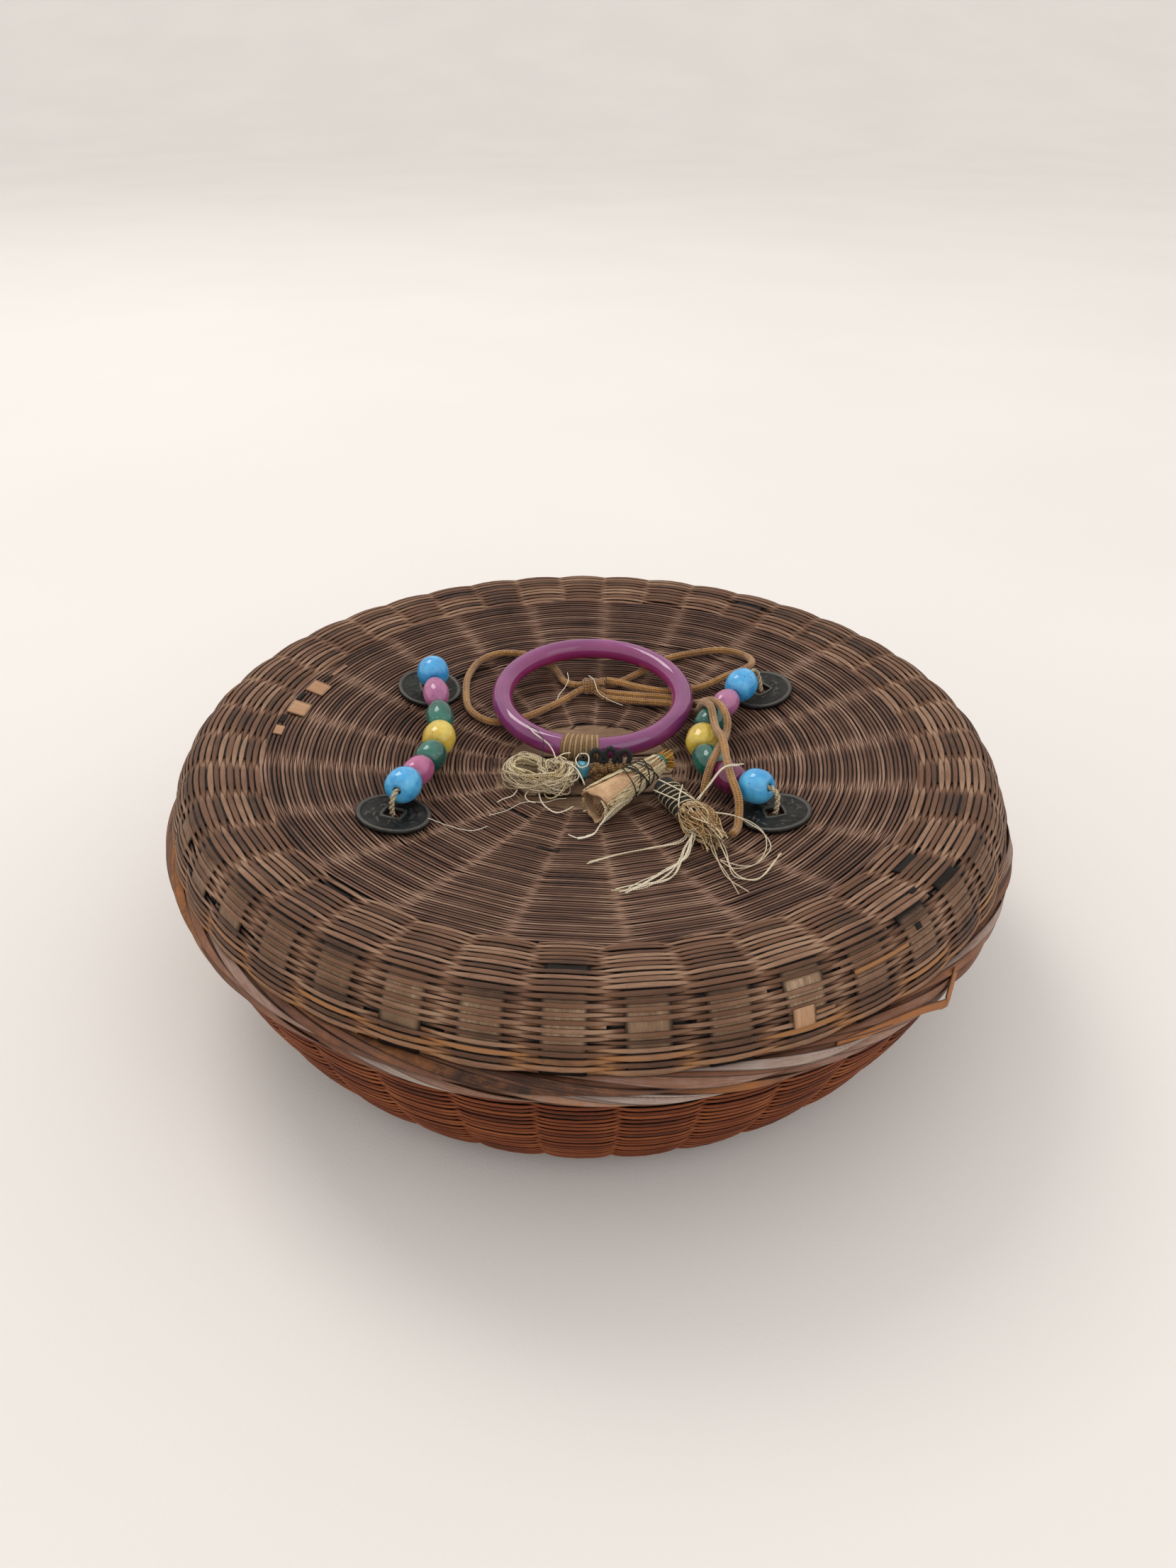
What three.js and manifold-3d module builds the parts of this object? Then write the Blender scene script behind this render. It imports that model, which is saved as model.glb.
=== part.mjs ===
// A round lidded basket of flat splints, with glass beads, four holed coins and a glass ring on its lid.
// Millimetres, +Z up. The origin is the middle of the face that the basket rests on, and the front faces -Y.
import * as THREE from "three";
import { mergeVertices } from "three/addons/utils/BufferGeometryUtils.js";
import Module from "manifold-3d";

const wasm = await Module();
wasm.setup();

// Clearances and the facets of everything round
const gap = 0.3;
const roundSides = 42;
const loopSteps = 12;
const windingSteps = 10;
const facetShare = Math.cos(Math.PI / roundSides);

// Base: a shallow bowl of woven splint, whose wall leans out over the foot before it turns up
const footRadius = 107;
const footLean = 22;
const footLeanHeight = 5;
const rimRadius = 143;
const rimHeight = 59.5;
const wallThickness = 2.4;
const wallSteps = 6;
const wallColumns = 39;
const firstWallColumnAngle = -91.1;

// The weave stands full over each spoke and draws in by this much between two spokes
const columnRelief = 1;

// Rolled borders of base and lid
const borderHalfWidth = 2.8;
const baseBorderHalfHeight = 2;
const lidBorderHalfHeight = 2.2;
const borderSides = 6;

// Lid: a dish in the middle, a crest, and a rounded shoulder down to the border
const lidThickness = 1.8;
const lidRise = 31;
const lidOverhang = 2;
const shoulderReach = 13.5;
const shoulderRise = 28.5;
const crestWidth = 18.5;
const crestDrop = 3.5;
const firstArmAngle = -93.1;
const dishDepth = 15;
const centrePatchRadius = 26;
const shoulderSteps = 4;
const crestSteps = 2;
const dishSteps = 4;
const shoulderColumns = 41;
const firstShoulderColumnAngle = -92.5;

// Spokes: flat splints under the weave, crossed at the centre
const spokeArms = 21;
const spokeWidth = 12;
const spokeThickness = 0.8;
const spokeHubRadius = 43;
const spokeInset = 0.5;
const crossingDrop = 0.6;
const baseSpokeTopShare = 0.87;
const spokeSteps = 3;

// Locating collar inside the rim, in depths below and above it
const collarDepth = 9.5;
const collarStand = 11.5;
const collarThickness = 1.6;

// Coins
const coinDiameter = 24.5;
const coinThickness = 1.6;
const coinRimWidth = 1.9;
const coinRimRise = 0.3;
const coinHoleSide = 5.5;
const coinLift = 0.7;

// Beads and the cord that carries them
const beadCordDiameter = 1.6;
const beadBoreDiameter = 2.8;
const beadGap = 1;
const beadSides = 12;
const beadArcSteps = 5;

// Glass ring, tipped towards the front, and the cord wound round it
const ringRadius = 34.5;
const ringTubeDiameter = 8;
const ringCentre = [0.6, 34.4, 9.2];
const ringTilt = 5;
const ringSides = 8;
const ringSteps = 40;
const wrapTurns = 7;
const wrapCordDiameter = 1.1;
const wrapPitch = 1.8;
const wrapAngle = -95.3;

// Ochre round cord
const bowCordDiameter = 2.8;
const bowKnotSize = [9.2, 7.2, 6.8];
const bowKnotCentre = [0.7, 49, 3.9];

// Left tassel: a hank of straw thread
const hankThread = 1;
const hankLength = 24.8;
const hankWidth = 17.4;
const hankLayers = 4;
const hankLoopsInLayer = 2;
const hankPitch = 1.65;
const hankRise = 1.55;
const hankCentre = [-18.8, -13.4, 1.7];

// Middle tassel: paper core, thread sheath and tuft
const coreFoot = [1, -36.5, 6.1];
const coreTip = [23.6, -11.2, 7.8];
const coreFootDiameter = 11.2;
const coreTipDiameter = 6;
const coreMouthDiameter = 8.4;
const coreMouthDepth = 12;
const sheathThickness = 0.6;
const sheathStartShare = 0.3;
const tuftLength = 6;
const tuftDiameter = 7;

// Right tassel: wound head and frayed skirt
const headStart = [25.2, -24.2, 5.9];
const headEnd = [33, -42, 5.4];
const headDiameter = 7.8;
const headThread = 0.8;
const headTurns = 5;
const skirtLength = 12.4;
const skirtWidth = 12.4;
const skirtHeight = 9.8;

// Knot, black loops and small bead in front of the ring
const braidSize = [14.6, 5.8, 8.8];
const braidCentre = [7.1, -10.2, 4.1];
const blackCordDiameter = 1.4;
const smallBeadSize = [4.6, 4.4, 7.6];
const smallBeadCentre = [-2.7, -10, 4.9];

// Loose splint of the lid's border
const looseSplintWidth = 3.2;
const looseSplintThickness = 0.8;
const looseSplintStand = 4.4;
const looseSplintAngles = [-43.6, -46.4, -51, -57, -63];
const looseSplintReach = [-2, 0.6, -0.4, -1.4, -2.1];
const looseSplintRise = [4, -3.1, 0.9, 2.9, 2.9];

// Heights and radii that follow from the sizes above
const baseBorderFoot = rimHeight + 2.5 * gap;
const lidBorderFoot = baseBorderFoot + 2 * baseBorderHalfHeight + gap;
const lidWeaveFoot = lidBorderFoot + 2 * lidBorderHalfHeight + 2 * gap;
const lidRadius = rimRadius + lidOverhang;
const crestRadius = lidRadius - shoulderReach;
const crestHeight = rimHeight + lidRise;
const zoneRadius = crestRadius - crestWidth;
const zoneHeight = crestHeight - crestDrop;
const collarFootHeight = rimHeight - collarDepth;

const millimetre = (x, y, z) => new THREE.Vector3(x, y, z);
const degrees = THREE.MathUtils.degToRad;

// Turns an outline in radius and height into a closed ring or disc round the Z axis.
function revolve(outline, sides = roundSides) {
  const area = THREE.ShapeUtils.area(outline);
  const points = area < 0 ? [...outline].reverse() : [...outline];
  const onAxis = points.some((p) => p.x === 0);
  if (!onAxis) {
    points.push(points[0].clone());
  } else {
    while (!(points[0].x === 0 && points.at(-1).x === 0)) {
      points.push(points.shift());
    }
  }
  return new THREE.LatheGeometry(points, sides).rotateX(Math.PI / 2);
}

// Moves an open line to its left by a distance, along the mean normal at each point.
function offsetLine(points, distance) {
  return points.map((p, i) => {
    const before = points[Math.max(i - 1, 0)];
    const after = points[Math.min(i + 1, points.length - 1)];
    const along = after.clone().sub(before).normalize();
    return new THREE.Vector2(p.x - along.y * distance, p.y + along.x * distance);
  });
}

// A closed ring that stands full over each column and draws in between two columns
function columnRing(line, thickness, columns, firstAngle) {
  const drawnIn = offsetLine(line, Math.sign(thickness) * columnRelief);
  const back = offsetLine(line, thickness).reverse();
  return ringThrough([[...line, ...back], [...drawnIn, ...back]], columns, firstAngle);
}

// A closed ring through two outlines that take turns, the first of them over each column
function ringThrough(outlines, columns, firstAngle) {
  if (THREE.ShapeUtils.area(outlines[0]) > 0) {
    outlines.forEach((outline) => outline.reverse());
  }
  const sides = 2 * columns;
  const size = outlines[0].length;
  const positions = [];
  const index = [];
  for (let i = 0; i < sides; i += 1) {
    const turn = degrees(firstAngle) + (2 * Math.PI * i) / sides;
    for (const point of outlines[i % 2]) {
      positions.push(point.x * Math.cos(turn), point.x * Math.sin(turn), point.y);
    }
    const here = i * size;
    const beside = ((i + 1) % sides) * size;
    for (let j = 0; j < size; j += 1) {
      const next = (j + 1) % size;
      index.push(here + j, here + next, beside + next, here + j, beside + next, beside + j);
    }
  }
  return new THREE.BufferGeometry()
    .setAttribute("position", new THREE.Float32BufferAttribute(positions, 3))
    .setIndex(index);
}

function regularSection(diameter, sides) {
  const points = [];
  for (let i = 0; i < sides; i += 1) {
    const turn = (2 * Math.PI * i) / sides;
    points.push(new THREE.Vector2(Math.cos(turn), Math.sin(turn)).multiplyScalar(diameter / 2));
  }
  return new THREE.Shape(points);
}

function tubeAlong(path, diameter, sides, steps) {
  return new THREE.ExtrudeGeometry(regularSection(diameter, sides), { steps, extrudePath: path });
}

// A point given as x, y and its height above the dish
function onDish([x, y, above]) {
  return millimetre(x, y, dishHeight(Math.hypot(x, y)) + above);
}

// A cord through points chosen by hand, with a step every two and a half diameters
function cordThrough(points, diameter) {
  const path = new THREE.CatmullRomCurve3(points.map(onDish), false, "centripetal");
  const steps = Math.round(path.getLength() / (2.5 * diameter));
  return tubeAlong(path, diameter, 8, steps);
}

function toSolid(geometry) {
  const plain = geometry.index ? geometry.toNonIndexed() : geometry.clone();
  plain.deleteAttribute("normal");
  plain.deleteAttribute("uv");
  const merged = mergeVertices(plain, 1e-4);
  return new wasm.Manifold(
    new wasm.Mesh({
      numProp: 3,
      vertProperties: merged.attributes.position.array,
      triVerts: new Uint32Array(merged.index.array),
    }),
  );
}

function fromSolid(solid) {
  const mesh = solid.getMesh();
  return new THREE.BufferGeometry()
    .setAttribute("position", new THREE.BufferAttribute(mesh.vertProperties, 3))
    .setIndex(new THREE.BufferAttribute(mesh.triVerts, 1));
}

// Outlines of base and lid, in radius and height
function dishHeight(radius) {
  return zoneHeight - dishDepth * (1 - (radius / zoneRadius) ** 2);
}

function wallLine(topShare = 1, steps = wallSteps) {
  const curve = new THREE.QuadraticBezierCurve(
    new THREE.Vector2(footRadius, 0),
    new THREE.Vector2(footRadius + footLean, footLeanHeight),
    new THREE.Vector2(rimRadius, rimHeight),
  );
  const points = [];
  for (let i = 0; i <= steps; i += 1) {
    points.push(curve.getPoint((topShare * i) / steps));
  }
  return points;
}

function dishLine(fromRadius, toRadius, steps) {
  const points = [];
  for (let i = 0; i <= steps; i += 1) {
    const radius = fromRadius + ((toRadius - fromRadius) * i) / steps;
    points.push(new THREE.Vector2(radius, dishHeight(radius)));
  }
  return points;
}

// From the zone's edge over the crest and down the shoulder to the border
function shoulderLine(startRadius, footHeight = lidWeaveFoot, steps = shoulderSteps) {
  const centreHeight = crestHeight - shoulderRise;
  const lastAngle = Math.asin((footHeight - centreHeight) / shoulderRise);
  const crest = new THREE.QuadraticBezierCurve(
    new THREE.Vector2(startRadius, zoneHeight),
    new THREE.Vector2((startRadius + 2 * crestRadius) / 3, crestHeight),
    new THREE.Vector2(crestRadius, crestHeight),
  );
  const points = crest.getPoints(crestSteps);
  for (let i = 1; i <= steps; i += 1) {
    const angle = Math.PI / 2 + ((lastAngle - Math.PI / 2) * i) / steps;
    const reach = shoulderReach * Math.cos(angle);
    points.push(new THREE.Vector2(crestRadius + reach, centreHeight + shoulderRise * Math.sin(angle)));
  }
  return points;
}

function borderOutline(centreRadius, centreHeight, halfHeight) {
  const points = [];
  for (let i = 0; i < borderSides; i += 1) {
    const turn = (2 * Math.PI * i) / borderSides;
    points.push(
      new THREE.Vector2(
        centreRadius + borderHalfWidth * Math.cos(turn),
        centreHeight + (halfHeight * Math.sin(turn)) / Math.sin(Math.PI / 3),
      ),
    );
  }
  return points;
}

// A hub with arms that follow a line of radius and height, one arm on every second facet
function spokeStar(hubOutline, line, side) {
  const scaled = line.map((p) => new THREE.Vector2(p.x * facetShare, p.y));
  const back = offsetLine(scaled, side * spokeThickness);
  const armShape = new THREE.Shape([...scaled, ...back.reverse()]);
  let star = toSolid(revolve(hubOutline, spokeArms).rotateZ(Math.PI / roundSides));
  for (let i = 0; i < spokeArms; i += 1) {
    const arm = new THREE.ExtrudeGeometry(armShape, { depth: spokeWidth, bevelEnabled: false })
      .rotateX(Math.PI / 2)
      .translate(0, spokeWidth / 2, 0)
      .rotateZ(-Math.PI / 2 + ((2 * i + 0.5) * 2 * Math.PI) / roundSides);
    star = star.add(toSolid(arm));
  }
  return fromSolid(star);
}

// Base pieces
function baseWall() {
  return columnRing(wallLine(), wallThickness, wallColumns, firstWallColumnAngle);
}

function baseFloor() {
  const radius = footRadius - wallThickness / 2;
  return revolve([
    new THREE.Vector2(0, 0),
    new THREE.Vector2(radius, 0),
    new THREE.Vector2(radius, wallThickness),
    new THREE.Vector2(0, wallThickness),
  ]);
}

function baseSpokes() {
  const bare = [new THREE.Vector2(0, 0), ...wallLine(baseSpokeTopShare, spokeSteps)];
  const line = offsetLine(bare, wallThickness + spokeInset).slice(1);
  const start = new THREE.Vector2(spokeHubRadius - 2, wallThickness + spokeInset);
  const hub = [
    new THREE.Vector2(0, start.y),
    new THREE.Vector2(spokeHubRadius, start.y),
    new THREE.Vector2(spokeHubRadius, start.y + spokeThickness),
    new THREE.Vector2(0, start.y + spokeThickness),
  ];
  return spokeStar(hub, [start, ...line], 1);
}

function collarRadius() {
  const inner = offsetLine(wallLine(), wallThickness);
  const above = inner.findIndex((p) => p.y > collarFootHeight);
  const low = inner[above - 1];
  const high = inner[above];
  const share = (collarFootHeight - low.y) / (high.y - low.y);
  return low.x + (high.x - low.x) * share - gap;
}

function locatingCollar() {
  const outer = collarRadius();
  const inner = outer - collarThickness;
  return revolve([
    new THREE.Vector2(inner, collarFootHeight),
    new THREE.Vector2(outer, collarFootHeight),
    new THREE.Vector2(outer, rimHeight + collarStand),
    new THREE.Vector2(inner, rimHeight + collarStand),
  ]);
}

function baseBorder() {
  const height = baseBorderFoot + baseBorderHalfHeight;
  return revolve(borderOutline(rimRadius, height, baseBorderHalfHeight));
}

// Lid pieces. The outer weave is parted at the crest
function lidInnerWeave() {
  const line = dishLine(centrePatchRadius, zoneRadius - gap / 2, dishSteps);
  return columnRing(line, -lidThickness, spokeArms, firstArmAngle);
}

function lidCrestWeave() {
  const part = (line) => {
    const points = line.slice(0, crestSteps + 1);
    points.at(-1).x -= gap / 2;
    return points;
  };
  const line = shoulderLine(zoneRadius + gap / 2);
  const outline = [...part(offsetLine(line, 0)), ...part(offsetLine(line, -lidThickness)).reverse()];
  return revolve(outline).rotateZ(degrees(firstArmAngle + 90));
}

function lidSideWeave() {
  const part = (line) => {
    const points = line.slice(crestSteps);
    points[0].x += gap / 2;
    return points;
  };
  const line = shoulderLine(zoneRadius + gap / 2);
  const [full, drawnIn, back] = [0, -columnRelief, -lidThickness].map((d) => part(offsetLine(line, d)));
  back.reverse();
  return ringThrough([[...full, ...back], [...drawnIn, ...back]], shoulderColumns, firstShoulderColumnAngle);
}

function lidBorder() {
  return revolve(borderOutline(rimRadius + gap, lidBorderFoot + lidBorderHalfHeight, lidBorderHalfHeight));
}

// The splints pile up where they cross, inside the ring of weave
function lidSpokes() {
  const dish = dishLine(spokeHubRadius - 2, zoneRadius, dishSteps).slice(0, -1);
  const bare = [...dish, ...shoulderLine(zoneRadius, lidWeaveFoot + 1, spokeSteps)];
  const lower = (line, drop) => line.map((p) => new THREE.Vector2(p.x, p.y - drop));
  const drop = lidThickness + spokeInset;
  const pileRadius = centrePatchRadius - 2 * gap;
  const hub = [
    ...lower(dishLine(0, pileRadius, 2), crossingDrop),
    ...lower(dishLine(pileRadius, spokeHubRadius, 1), drop),
    ...lower(dishLine(0, spokeHubRadius, 2), drop + spokeThickness).reverse(),
  ];
  const turn = degrees(firstArmAngle + 90) - Math.PI / roundSides;
  return spokeStar(hub, offsetLine(bare, -drop), -1).rotateZ(turn);
}

// The loose splint leaves the border, turns a corner and runs back along the rim
function looseSplint() {
  const [start, ...run] = looseSplintAngles.map((angle, i) => {
    const radius = lidRadius + looseSplintStand + looseSplintReach[i];
    const turn = degrees(angle);
    const height = lidBorderFoot + looseSplintRise[i];
    return millimetre(radius * Math.cos(turn), radius * Math.sin(turn), height);
  });
  const path = new THREE.CurvePath();
  path.add(new THREE.LineCurve3(start, run[0]));
  path.add(new THREE.CatmullRomCurve3(run));
  const half = new THREE.Vector2(looseSplintThickness / 2, looseSplintWidth / 2);
  const section = new THREE.Shape([
    new THREE.Vector2(-half.x, -half.y),
    new THREE.Vector2(half.x, -half.y),
    new THREE.Vector2(half.x, half.y),
    new THREE.Vector2(-half.x, half.y),
  ]);
  return new THREE.ExtrudeGeometry(section, { steps: 12, extrudePath: path });
}

// Coins
function coinBlank() {
  const radius = coinDiameter / 2;
  const top = coinThickness / 2;
  const field = top - coinRimRise;
  const rimInner = radius - coinRimWidth;
  return revolve(
    [
      new THREE.Vector2(0, -field),
      new THREE.Vector2(rimInner, -field),
      new THREE.Vector2(rimInner, -top),
      new THREE.Vector2(radius, -top),
      new THREE.Vector2(radius, top),
      new THREE.Vector2(rimInner, top),
      new THREE.Vector2(rimInner, field),
      new THREE.Vector2(0, field),
    ],
    20,
  );
}

function coinGeometry() {
  const hole = new THREE.BoxGeometry(coinHoleSide, coinHoleSide, 2 * coinThickness);
  return fromSolid(toSolid(coinBlank()).subtract(toSolid(hole)));
}

// Lies on the dish at a place, square to the slope there
function placeOnDish(mesh, x, y) {
  const radius = Math.hypot(x, y);
  const slope = (2 * dishDepth * radius) / zoneRadius ** 2;
  const normal = millimetre((-slope * x) / radius, (-slope * y) / radius, 1).normalize();
  const lift = coinLift + coinThickness / 2;
  mesh.position.set(x, y, dishHeight(radius)).addScaledVector(normal, lift);
  mesh.quaternion.setFromUnitVectors(millimetre(0, 0, 1), normal);
}

// Beads
function beadGeometry(length, diameter) {
  const bore = beadBoreDiameter / 2;
  const cut = Math.asin(bore / (diameter / 2));
  const half = length / 2 / Math.cos(cut);
  const points = [];
  for (let i = 0; i <= beadArcSteps; i += 1) {
    const angle = cut + ((Math.PI - 2 * cut) * i) / beadArcSteps;
    points.push(new THREE.Vector2((diameter / 2) * Math.sin(angle), -half * Math.cos(angle)));
  }
  return revolve(points, beadSides);
}

function addBead(group, name, material, from, to, diameter) {
  const start = onDish(from);
  const end = onDish(to);
  const along = end.clone().sub(start);
  const mesh = new THREE.Mesh(beadGeometry(along.length() - beadGap, diameter), material);
  mesh.name = name;
  mesh.position.copy(start).lerp(end, 0.5);
  mesh.quaternion.setFromUnitVectors(millimetre(0, 0, 1), along.normalize());
  group.add(mesh);
}

// The cord rises from the rear coin, runs through the bores and goes down through the front coin
function beadCord(rearEnd, joints, frontEnd) {
  const inside = [];
  joints.forEach((joint, i) => {
    inside.push(joint);
    if (i + 1 < joints.length) {
      const next = joints[i + 1];
      inside.push(joint.map((value, axis) => (value + next[axis]) / 2));
    }
  });
  return cordThrough([...rearEnd, ...inside, ...frontEnd], beadCordDiameter);
}

// Wound forms
class RingWinding extends THREE.Curve {
  getPoint(share) {
    const reach = ringTubeDiameter / 2 + 1.5 * gap + wrapCordDiameter / 2;
    const span = (wrapTurns * wrapPitch) / ringRadius;
    const along = degrees(wrapAngle) + (share - 0.5) * span;
    const around = 2 * Math.PI * wrapTurns * share;
    const radius = ringRadius + reach * Math.cos(around);
    return millimetre(radius * Math.cos(along), radius * Math.sin(along), reach * Math.sin(around));
  }
}

class ThreadHank extends THREE.Curve {
  getPoint(share) {
    const loop = share * hankLayers * hankLoopsInLayer;
    const layer = Math.min(Math.floor(loop / hankLoopsInLayer), hankLayers - 1);
    const inLayer = loop - layer * hankLoopsInLayer;
    const shrink = hankPitch * (layer % 2 === 0 ? inLayer : hankLoopsInLayer - inLayer);
    let height = 0;
    for (let i = 1; i < hankLayers; i += 1) {
      const reversal = i * hankLoopsInLayer;
      height += hankRise * THREE.MathUtils.smoothstep(loop, reversal - 0.25, reversal + 0.25);
    }
    const turn = 2 * Math.PI * loop;
    return millimetre(
      (hankLength / 2 - shrink) * Math.cos(turn),
      (hankWidth / 2 - shrink) * Math.sin(turn),
      height,
    );
  }
}

class HeadWinding extends THREE.Curve {
  getPoint(share) {
    const reach = (headDiameter / 2 + gap) / Math.cos(Math.PI / windingSteps) + headThread / 2;
    const length = onDish(headStart).distanceTo(onDish(headEnd)) - 2 * headThread;
    const turn = 2 * Math.PI * headTurns * share;
    return millimetre(reach * Math.cos(turn), reach * Math.sin(turn), headThread + length * share);
  }
}

function reportLeastGap(name, curve, turns, diameter) {
  const perTurn = 48;
  const points = curve.getPoints(turns * perTurn);
  let least = Infinity;
  for (let i = 0; i < points.length; i += 1) {
    for (let j = i + perTurn / 2; j < points.length; j += 1) {
      least = Math.min(least, points[i].distanceTo(points[j]));
    }
  }
  console.log(`${name}: least gap to itself ${(least - diameter).toFixed(2)} mm`);
}

function winding(name, curve, turns, diameter, stepsPerTurn) {
  reportLeastGap(name, curve, turns, diameter);
  return tubeAlong(curve, diameter, 6, stepsPerTurn * turns);
}

// Soft lumps: a ball stretched to a size
function lump(size, widthSides = 12, heightSides = 8) {
  return new THREE.SphereGeometry(0.5, widthSides, heightSides).rotateX(Math.PI / 2).scale(...size);
}

// Tassel pieces, drawn along +Z from their foot
function coreDiameterAt(share) {
  return coreFootDiameter + (coreTipDiameter - coreFootDiameter) * share;
}

function coreLength() {
  return onDish(coreFoot).distanceTo(onDish(coreTip));
}

function paperCore() {
  const length = coreLength();
  return revolve(
    [
      new THREE.Vector2(coreMouthDiameter / 2, 0),
      new THREE.Vector2(coreFootDiameter / 2, 0),
      new THREE.Vector2(coreDiameterAt(0.5) / 2, length / 2),
      new THREE.Vector2(coreTipDiameter / 2, length),
      new THREE.Vector2(0, length),
      new THREE.Vector2(0, coreMouthDepth),
      new THREE.Vector2((coreMouthDiameter - 1) / 2, coreMouthDepth),
    ],
    beadSides,
  );
}

function threadSheath() {
  const length = coreLength();
  const line = [sheathStartShare, 0.55, 0.8, 1].map(
    (share) => new THREE.Vector2(coreDiameterAt(share) / 2 + gap, share * length),
  );
  const outer = line.map((p) => new THREE.Vector2(p.x + sheathThickness, p.y));
  return revolve([...line, ...outer.reverse()], beadSides);
}

function tasselHead() {
  const length = onDish(headStart).distanceTo(onDish(headEnd));
  const radius = headDiameter / 2;
  return revolve(
    [
      new THREE.Vector2(0, 0),
      new THREE.Vector2(radius, 0),
      new THREE.Vector2(radius, length),
      new THREE.Vector2(0, length),
    ],
    beadSides,
  );
}

function tuft() {
  return revolve(
    [
      new THREE.Vector2(0, 0),
      new THREE.Vector2(coreTipDiameter / 2 - 1, 0),
      new THREE.Vector2(tuftDiameter / 2, tuftLength),
      new THREE.Vector2(0, tuftLength),
    ],
    beadSides,
  );
}

// Three loops of black cord that stand on the braid
const blackCordPoints = [
  [0.6, -9, 7.3],
  [0.1, -8.4, 10.1],
  [2, -8.2, 11.9],
  [3.9, -8.4, 10.1],
  [3.5, -9, 7.9],
  [5.6, -9, 7.9],
  [5.1, -8.4, 10.7],
  [7, -8.2, 12.7],
  [8.9, -8.4, 10.6],
  [8.5, -9, 7.8],
  [10.6, -9, 7.8],
  [10.1, -8.4, 10],
  [12, -8.2, 11.8],
  [13.9, -8.4, 9.9],
  [13.4, -9, 7.1],
];

// Places where one bead of a string ends and the next begins, rear to front
const leftJoints = [
  [-61.9, 46.2, 10.3],
  [-59.9, 34.8, 10.2],
  [-56.6, 19.9, 9.2],
  [-54, 7.2, 7.8],
  [-54.4, -6, 7.1],
  [-56.8, -17.2, 6.9],
  [-59.8, -29.8, 8.2],
  [-62.6, -41.8, 9.3],
];
const rightJoints = [
  [60.8, 41.4, 9.8],
  [54.2, 30.5, 9.3],
  [46.5, 19.4, 8.9],
  [40.9, 8.7, 8.5],
  [39.3, -4.5, 8],
  [43.2, -17.2, 7.3],
  [51, -28.6, 7.6],
  [59.2, -35.8, 9.6],
];
const leftRearEnd = [
  [-63.2, 43.2, 0.8],
  [-63.3, 44, 2.6],
  [-63.6, 48.2, 6.3],
  [-62.8, 49.6, 9.1],
];
const leftFrontEnd = [
  [-63.4, -44.4, 7.9],
  [-64, -44.6, 4.5],
  [-64, -44, 0.8],
];
const rightRearEnd = [
  [66.5, 43.7, 0.8],
  [66.3, 44.6, 2.9],
  [65, 46.4, 7.1],
  [63, 44.8, 9.6],
];
const rightFrontEnd = [
  [61, -38.4, 8.3],
  [61.2, -39.6, 4.8],
  [60.9, -39.3, 0.9],
];
const coinPlaces = {
  coin_left_rear: [-63.2, 43.2],
  coin_left_front: [-64, -44],
  coin_right_rear: [66.5, 43.7],
  coin_right_front: [60.9, -39.3],
};

// Routes of the ochre cord, chosen by hand
const leftBowPoints = [
  [-5.4, 50.8, 3],
  [-10.1, 54.1, 2],
  [-15.3, 64, 2.1],
  [-21.6, 69.8, 1.9],
  [-29, 72.1, 1.9],
  [-38.8, 70.6, 2],
  [-45.6, 64.1, 1.9],
  [-49, 52.8, 2.1],
  [-48.8, 42.4, 2.2],
  [-46.6, 31.5, 2.1],
  [-41.3, 25.6, 2],
  [-35.5, 23.8, 2.1],
  [-27, 27.6, 2],
  [-12.3, 40.3, 2],
  [-5.6, 46.8, 2.6],
];
const rightBowPoints = [
  [6, 52.2, 2.9],
  [10, 53.6, 2.2],
  [18.7, 60.1, 2],
  [31, 69.9, 1.7],
  [43.6, 72.5, 1.9],
  [53.4, 72.5, 2],
  [61.4, 68.6, 1.9],
  [64.7, 60.6, 3.3],
  [61, 53.6, 5],
  [53.3, 51, 4.3],
  [46.7, 49, 2.8],
  [40.7, 47.4, 2.3],
  [31.2, 46.6, 2.3],
  [18.4, 49, 3.3],
  [11.3, 49.9, 4.9],
  [6, 49.6, 6.2],
];
const upperTailPoints = [
  [6.2, 46.6, 2.6],
  [18.4, 45, 2.1],
  [31.1, 42.6, 2],
  [38.6, 37.6, 2.6],
  [41.6, 31.4, 6.4],
  [42.8, 25.8, 10.4],
  [45, 20.2, 13.9],
  [47.6, 12.6, 15.4],
  [49, 4.9, 13.6],
  [48, -1, 12.1],
  [45.4, -10, 13.6],
  [43.4, -15, 13.5],
  [40.7, -21.7, 12.1],
  [38.8, -26.8, 7.9],
  [38.4, -28, 4.3],
];
const lowerTailPoints = [
  [6, 43.2, 2.2],
  [18.2, 41.2, 2],
  [30.8, 38.6, 2],
  [36.2, 35.4, 1.9],
  [39.7, 31.6, 2.5],
  [41, 27.2, 5.8],
  [41, 22.6, 10.4],
  [41.6, 18.6, 14.2],
  [43.2, 11.5, 16.9],
  [43.9, 1.5, 15.5],
  [44.2, -4, 15.9],
  [45, -10.5, 17.2],
  [45.6, -16, 16.5],
  [45.8, -21, 15],
  [46.6, -32, 12.8],
  [48.4, -38.8, 8.7],
  [48.4, -43.4, 4.6],
  [47.4, -48.5, 2.2],
  [45.4, -52, 2.2],
];

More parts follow.
